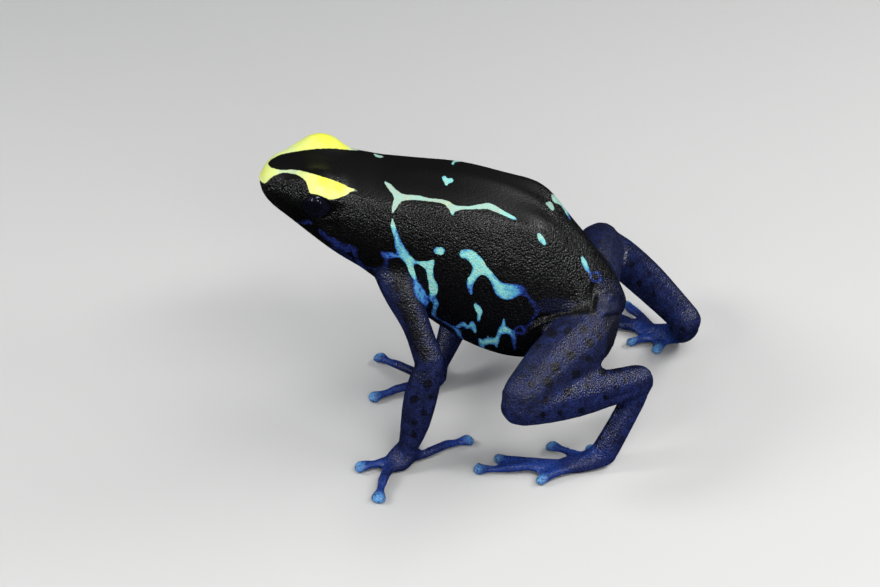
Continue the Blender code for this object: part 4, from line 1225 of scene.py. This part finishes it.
# The grain of the skin, and its satin shine with wetter points.
grain = attribute_value(tree, "grain")
granules = calculate(tree, "SUBTRACT", 1.0, cells(tree, place, GRANULE_SIZE))
swellings = times(tree, cloud(tree, place, SWELLING_SIZE, 1.0), SWELLING_SHARE)
grain_height = times(tree, add(tree, granules, swellings), grain)
bump = add_node(tree, "ShaderNodeBump", {"Height": grain_height, "Distance": GRAIN_DEPTH, "Strength": 1.0})
tree.links.new(bump.outputs["Normal"], shader.inputs["Normal"])
wet_points = ease(tree, cloud(tree, place, WET_POINT_SIZE, 1.0), 0.50, 0.62)
wet_points = times(tree, wet_points, ease(tree, grain, 0.1, 0.4))
satin = attribute_value(tree, "satin")
roughness = calculate(tree, "MULTIPLY_ADD", wet_points, -WET_POINT_SHINE, satin)
tree.links.new(roughness, shader.inputs["Roughness"])
shader.inputs["Specular IOR Level"].default_value = SKIN_SPECULAR
skin.data.materials.append(skin_finish)
select_only(skin)
bpy.ops.object.shade_smooth()
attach(skin, "root")
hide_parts(*flesh_names)


# The eyes. Each is a dark glossy ball with a nearly black iris, a pupil that is wider than
# high, and a clear cornea that bulges a little. The upper part of the iris is painted lighter,
# as a painted reflection.
GAZE = (-0.22, -0.96, 0.12)
CORNEA_BULGE = 0.16 * MM
CORNEA_SPREAD = 0.62
PUPIL_HALF_WIDTH = 0.42
PUPIL_HALF_HEIGHT = 0.3
PUPIL_COLOUR = (0.0025, 0.0027, 0.005, 1.0)
IRIS_STREAK_SIZE = 0.25
IRIS_STEPS = ((0.35, (0.0022, 0.0025, 0.0045)), (0.7, (0.005, 0.0056, 0.0105)))
# Lighter iris colours for the painted reflection on the upper part of the eye.
PAINTED_SHEEN_IRIS_STEPS = ((0.35, (0.008, 0.008, 0.017)), (0.7, (0.018, 0.018, 0.038)))
PAINTED_SHEEN_REACH = (0.2, 0.85)
PAINTED_SHEEN_LEAN = 0.35
EYE_ROUGHNESS = 0.07
EYE_SPECULAR = 0.32

eye_finish = bpy.data.materials.new("frog_eye")
eye_finish.use_nodes = True
tree = eye_finish.node_tree
shader = tree.nodes["Principled BSDF"]
place = add_node(tree, "ShaderNodeTexCoord").outputs["Object"]
streaks = cloud(tree, place, IRIS_STREAK_SIZE, 3.0)
dark_iris = colour_steps(tree, streaks, IRIS_STEPS)
painted_sheen_iris = colour_steps(tree, streaks, PAINTED_SHEEN_IRIS_STEPS)
# The upper iris is mixed towards the lighter colours, as a painted reflection.
iris_colour = blend_colours(tree, attribute_value(tree, "iris_painted_sheen"), dark_iris, painted_sheen_iris)
off_pupil = ease(tree, attribute_value(tree, "iris"), -0.05, 0.2)
eye_colour = blend_colours(tree, off_pupil, PUPIL_COLOUR, iris_colour)
tree.links.new(eye_colour, shader.inputs["Base Color"])
shader.inputs["Roughness"].default_value = EYE_ROUGHNESS
shader.inputs["Specular IOR Level"].default_value = EYE_SPECULAR

for side, turn in zip(SIDES, (1.0, -1.0)):
    gaze = Vector((GAZE[0], GAZE[1] * turn, GAZE[2])).normalized()
    bpy.ops.object.select_all(action="DESELECT")
    bpy.ops.mesh.primitive_uv_sphere_add(
        segments=64,
        ring_count=48,
        radius=eye_radii[side],
        location=eye_centres[side],
        rotation=gaze.to_track_quat("Z", "Y").to_euler(),
    )
    eye = bpy.context.object
    eye.name = "eyeball_" + side
    bpy.ops.object.transform_apply(location=True, rotation=True, scale=True)
    eye_points = points_of(eye.data)
    outward = (eye_points - eye_centres[side]) / eye_radii[side]
    off_axis = np.arccos(np.clip(outward @ np.array(gaze), -1.0, 1.0))
    bulge = CORNEA_BULGE * soft_step(2 * CORNEA_SPREAD, 0.0, off_axis)
    set_points(eye.data, eye_points + outward * bulge[:, None])
    level = (outward[:, 0] - gaze.x) / PUPIL_HALF_WIDTH
    upright = (outward[:, 2] - gaze.z) / PUPIL_HALF_HEIGHT
    store(eye.data, "iris", np.hypot(level, upright) - 1)
    # How strongly the painted reflection lightens the iris, rising towards the top of the eye.
    store(eye.data, "iris_painted_sheen", soft_step(*PAINTED_SHEEN_REACH, outward[:, 2] - PAINTED_SHEEN_LEAN * outward[:, 0]))
    eye.data.materials.append(eye_finish)
    bpy.ops.object.shade_smooth()
    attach(eye, "root")
    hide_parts("eye_" + side)


# The floor is a plain pale table top, lit by soft studio lamps. A wide lamp hangs
# overhead, so that the moist skin shines along the shoulders of the back and flanks. The
# front lamp is soft and adds no shine, and the catch lights make the glints in the eyes.
FLOOR_SIZE = 4.0
FLOOR_COLOUR = (0.60, 0.595, 0.58, 1.0)
FLOOR_ROUGHNESS = 0.7
LAMP_AIM = Vector((0.0, 0.0, 15.0)) * MM
LAMPS = (
    ("overhead_lamp", (68, -135, 239), 190, 50, 0.31),
    ("right_lamp", (205, -25, 195), 190, 60, 0.24),
    ("rear_lamp", (207, 110, 185), 150, 60, 0.25),
    ("left_lamp", (-224, -14, 183), 100, 100, 0.32),
    ("catch_light", (-120, -165, 185), 24, 17, 0.028),
    ("catch_light", (-132, -190, 158), 24, 17, 0.028),
    ("catch_light", (41, -229, 164), 24, 17, 0.028),
    ("catch_light", (120, -235, 98), 24, 17, 0.028),
    ("front_lamp", (40, -250, 130), 160, 160, 0.20),
)
AIR_COLOUR = (0.85, 0.9, 1.0, 1.0)
AIR_LIGHT = 0.24

bpy.ops.mesh.primitive_plane_add(size=FLOOR_SIZE, location=(0.0, 0.0, 0.0))
floor = bpy.context.object
floor.name = "studio_floor"
floor_finish = bpy.data.materials.new("studio_floor")
floor_finish.use_nodes = True
floor_shader = floor_finish.node_tree.nodes["Principled BSDF"]
floor_shader.inputs["Base Color"].default_value = FLOOR_COLOUR
floor_shader.inputs["Roughness"].default_value = FLOOR_ROUGHNESS
floor.data.materials.append(floor_finish)
floor.visible_glossy = False

# Each lamp has a place, a width and a depth in millimetres, and a power in watts.
for name, place_mm, width, depth, power in LAMPS:
    place = Vector(place_mm) * MM
    turn = (LAMP_AIM - place).to_track_quat("-Z", "Y").to_euler()
    bpy.ops.object.light_add(type="AREA", location=place, rotation=turn)
    lamp = bpy.context.object
    lamp.name = name
    lamp.data.shape = "ELLIPSE"
    lamp.data.size = width * MM
    lamp.data.size_y = depth * MM
    lamp.data.energy = power
    lamp.visible_glossy = name != "front_lamp"

world = bpy.data.worlds.new("studio_air")
bpy.context.scene.world = world
world.use_nodes = True
air = world.node_tree.nodes["Background"]
air.inputs["Color"].default_value = AIR_COLOUR
air.inputs["Strength"].default_value = AIR_LIGHT
world.cycles_visibility.glossy = False
bpy.context.scene.view_settings.view_transform = "Standard"
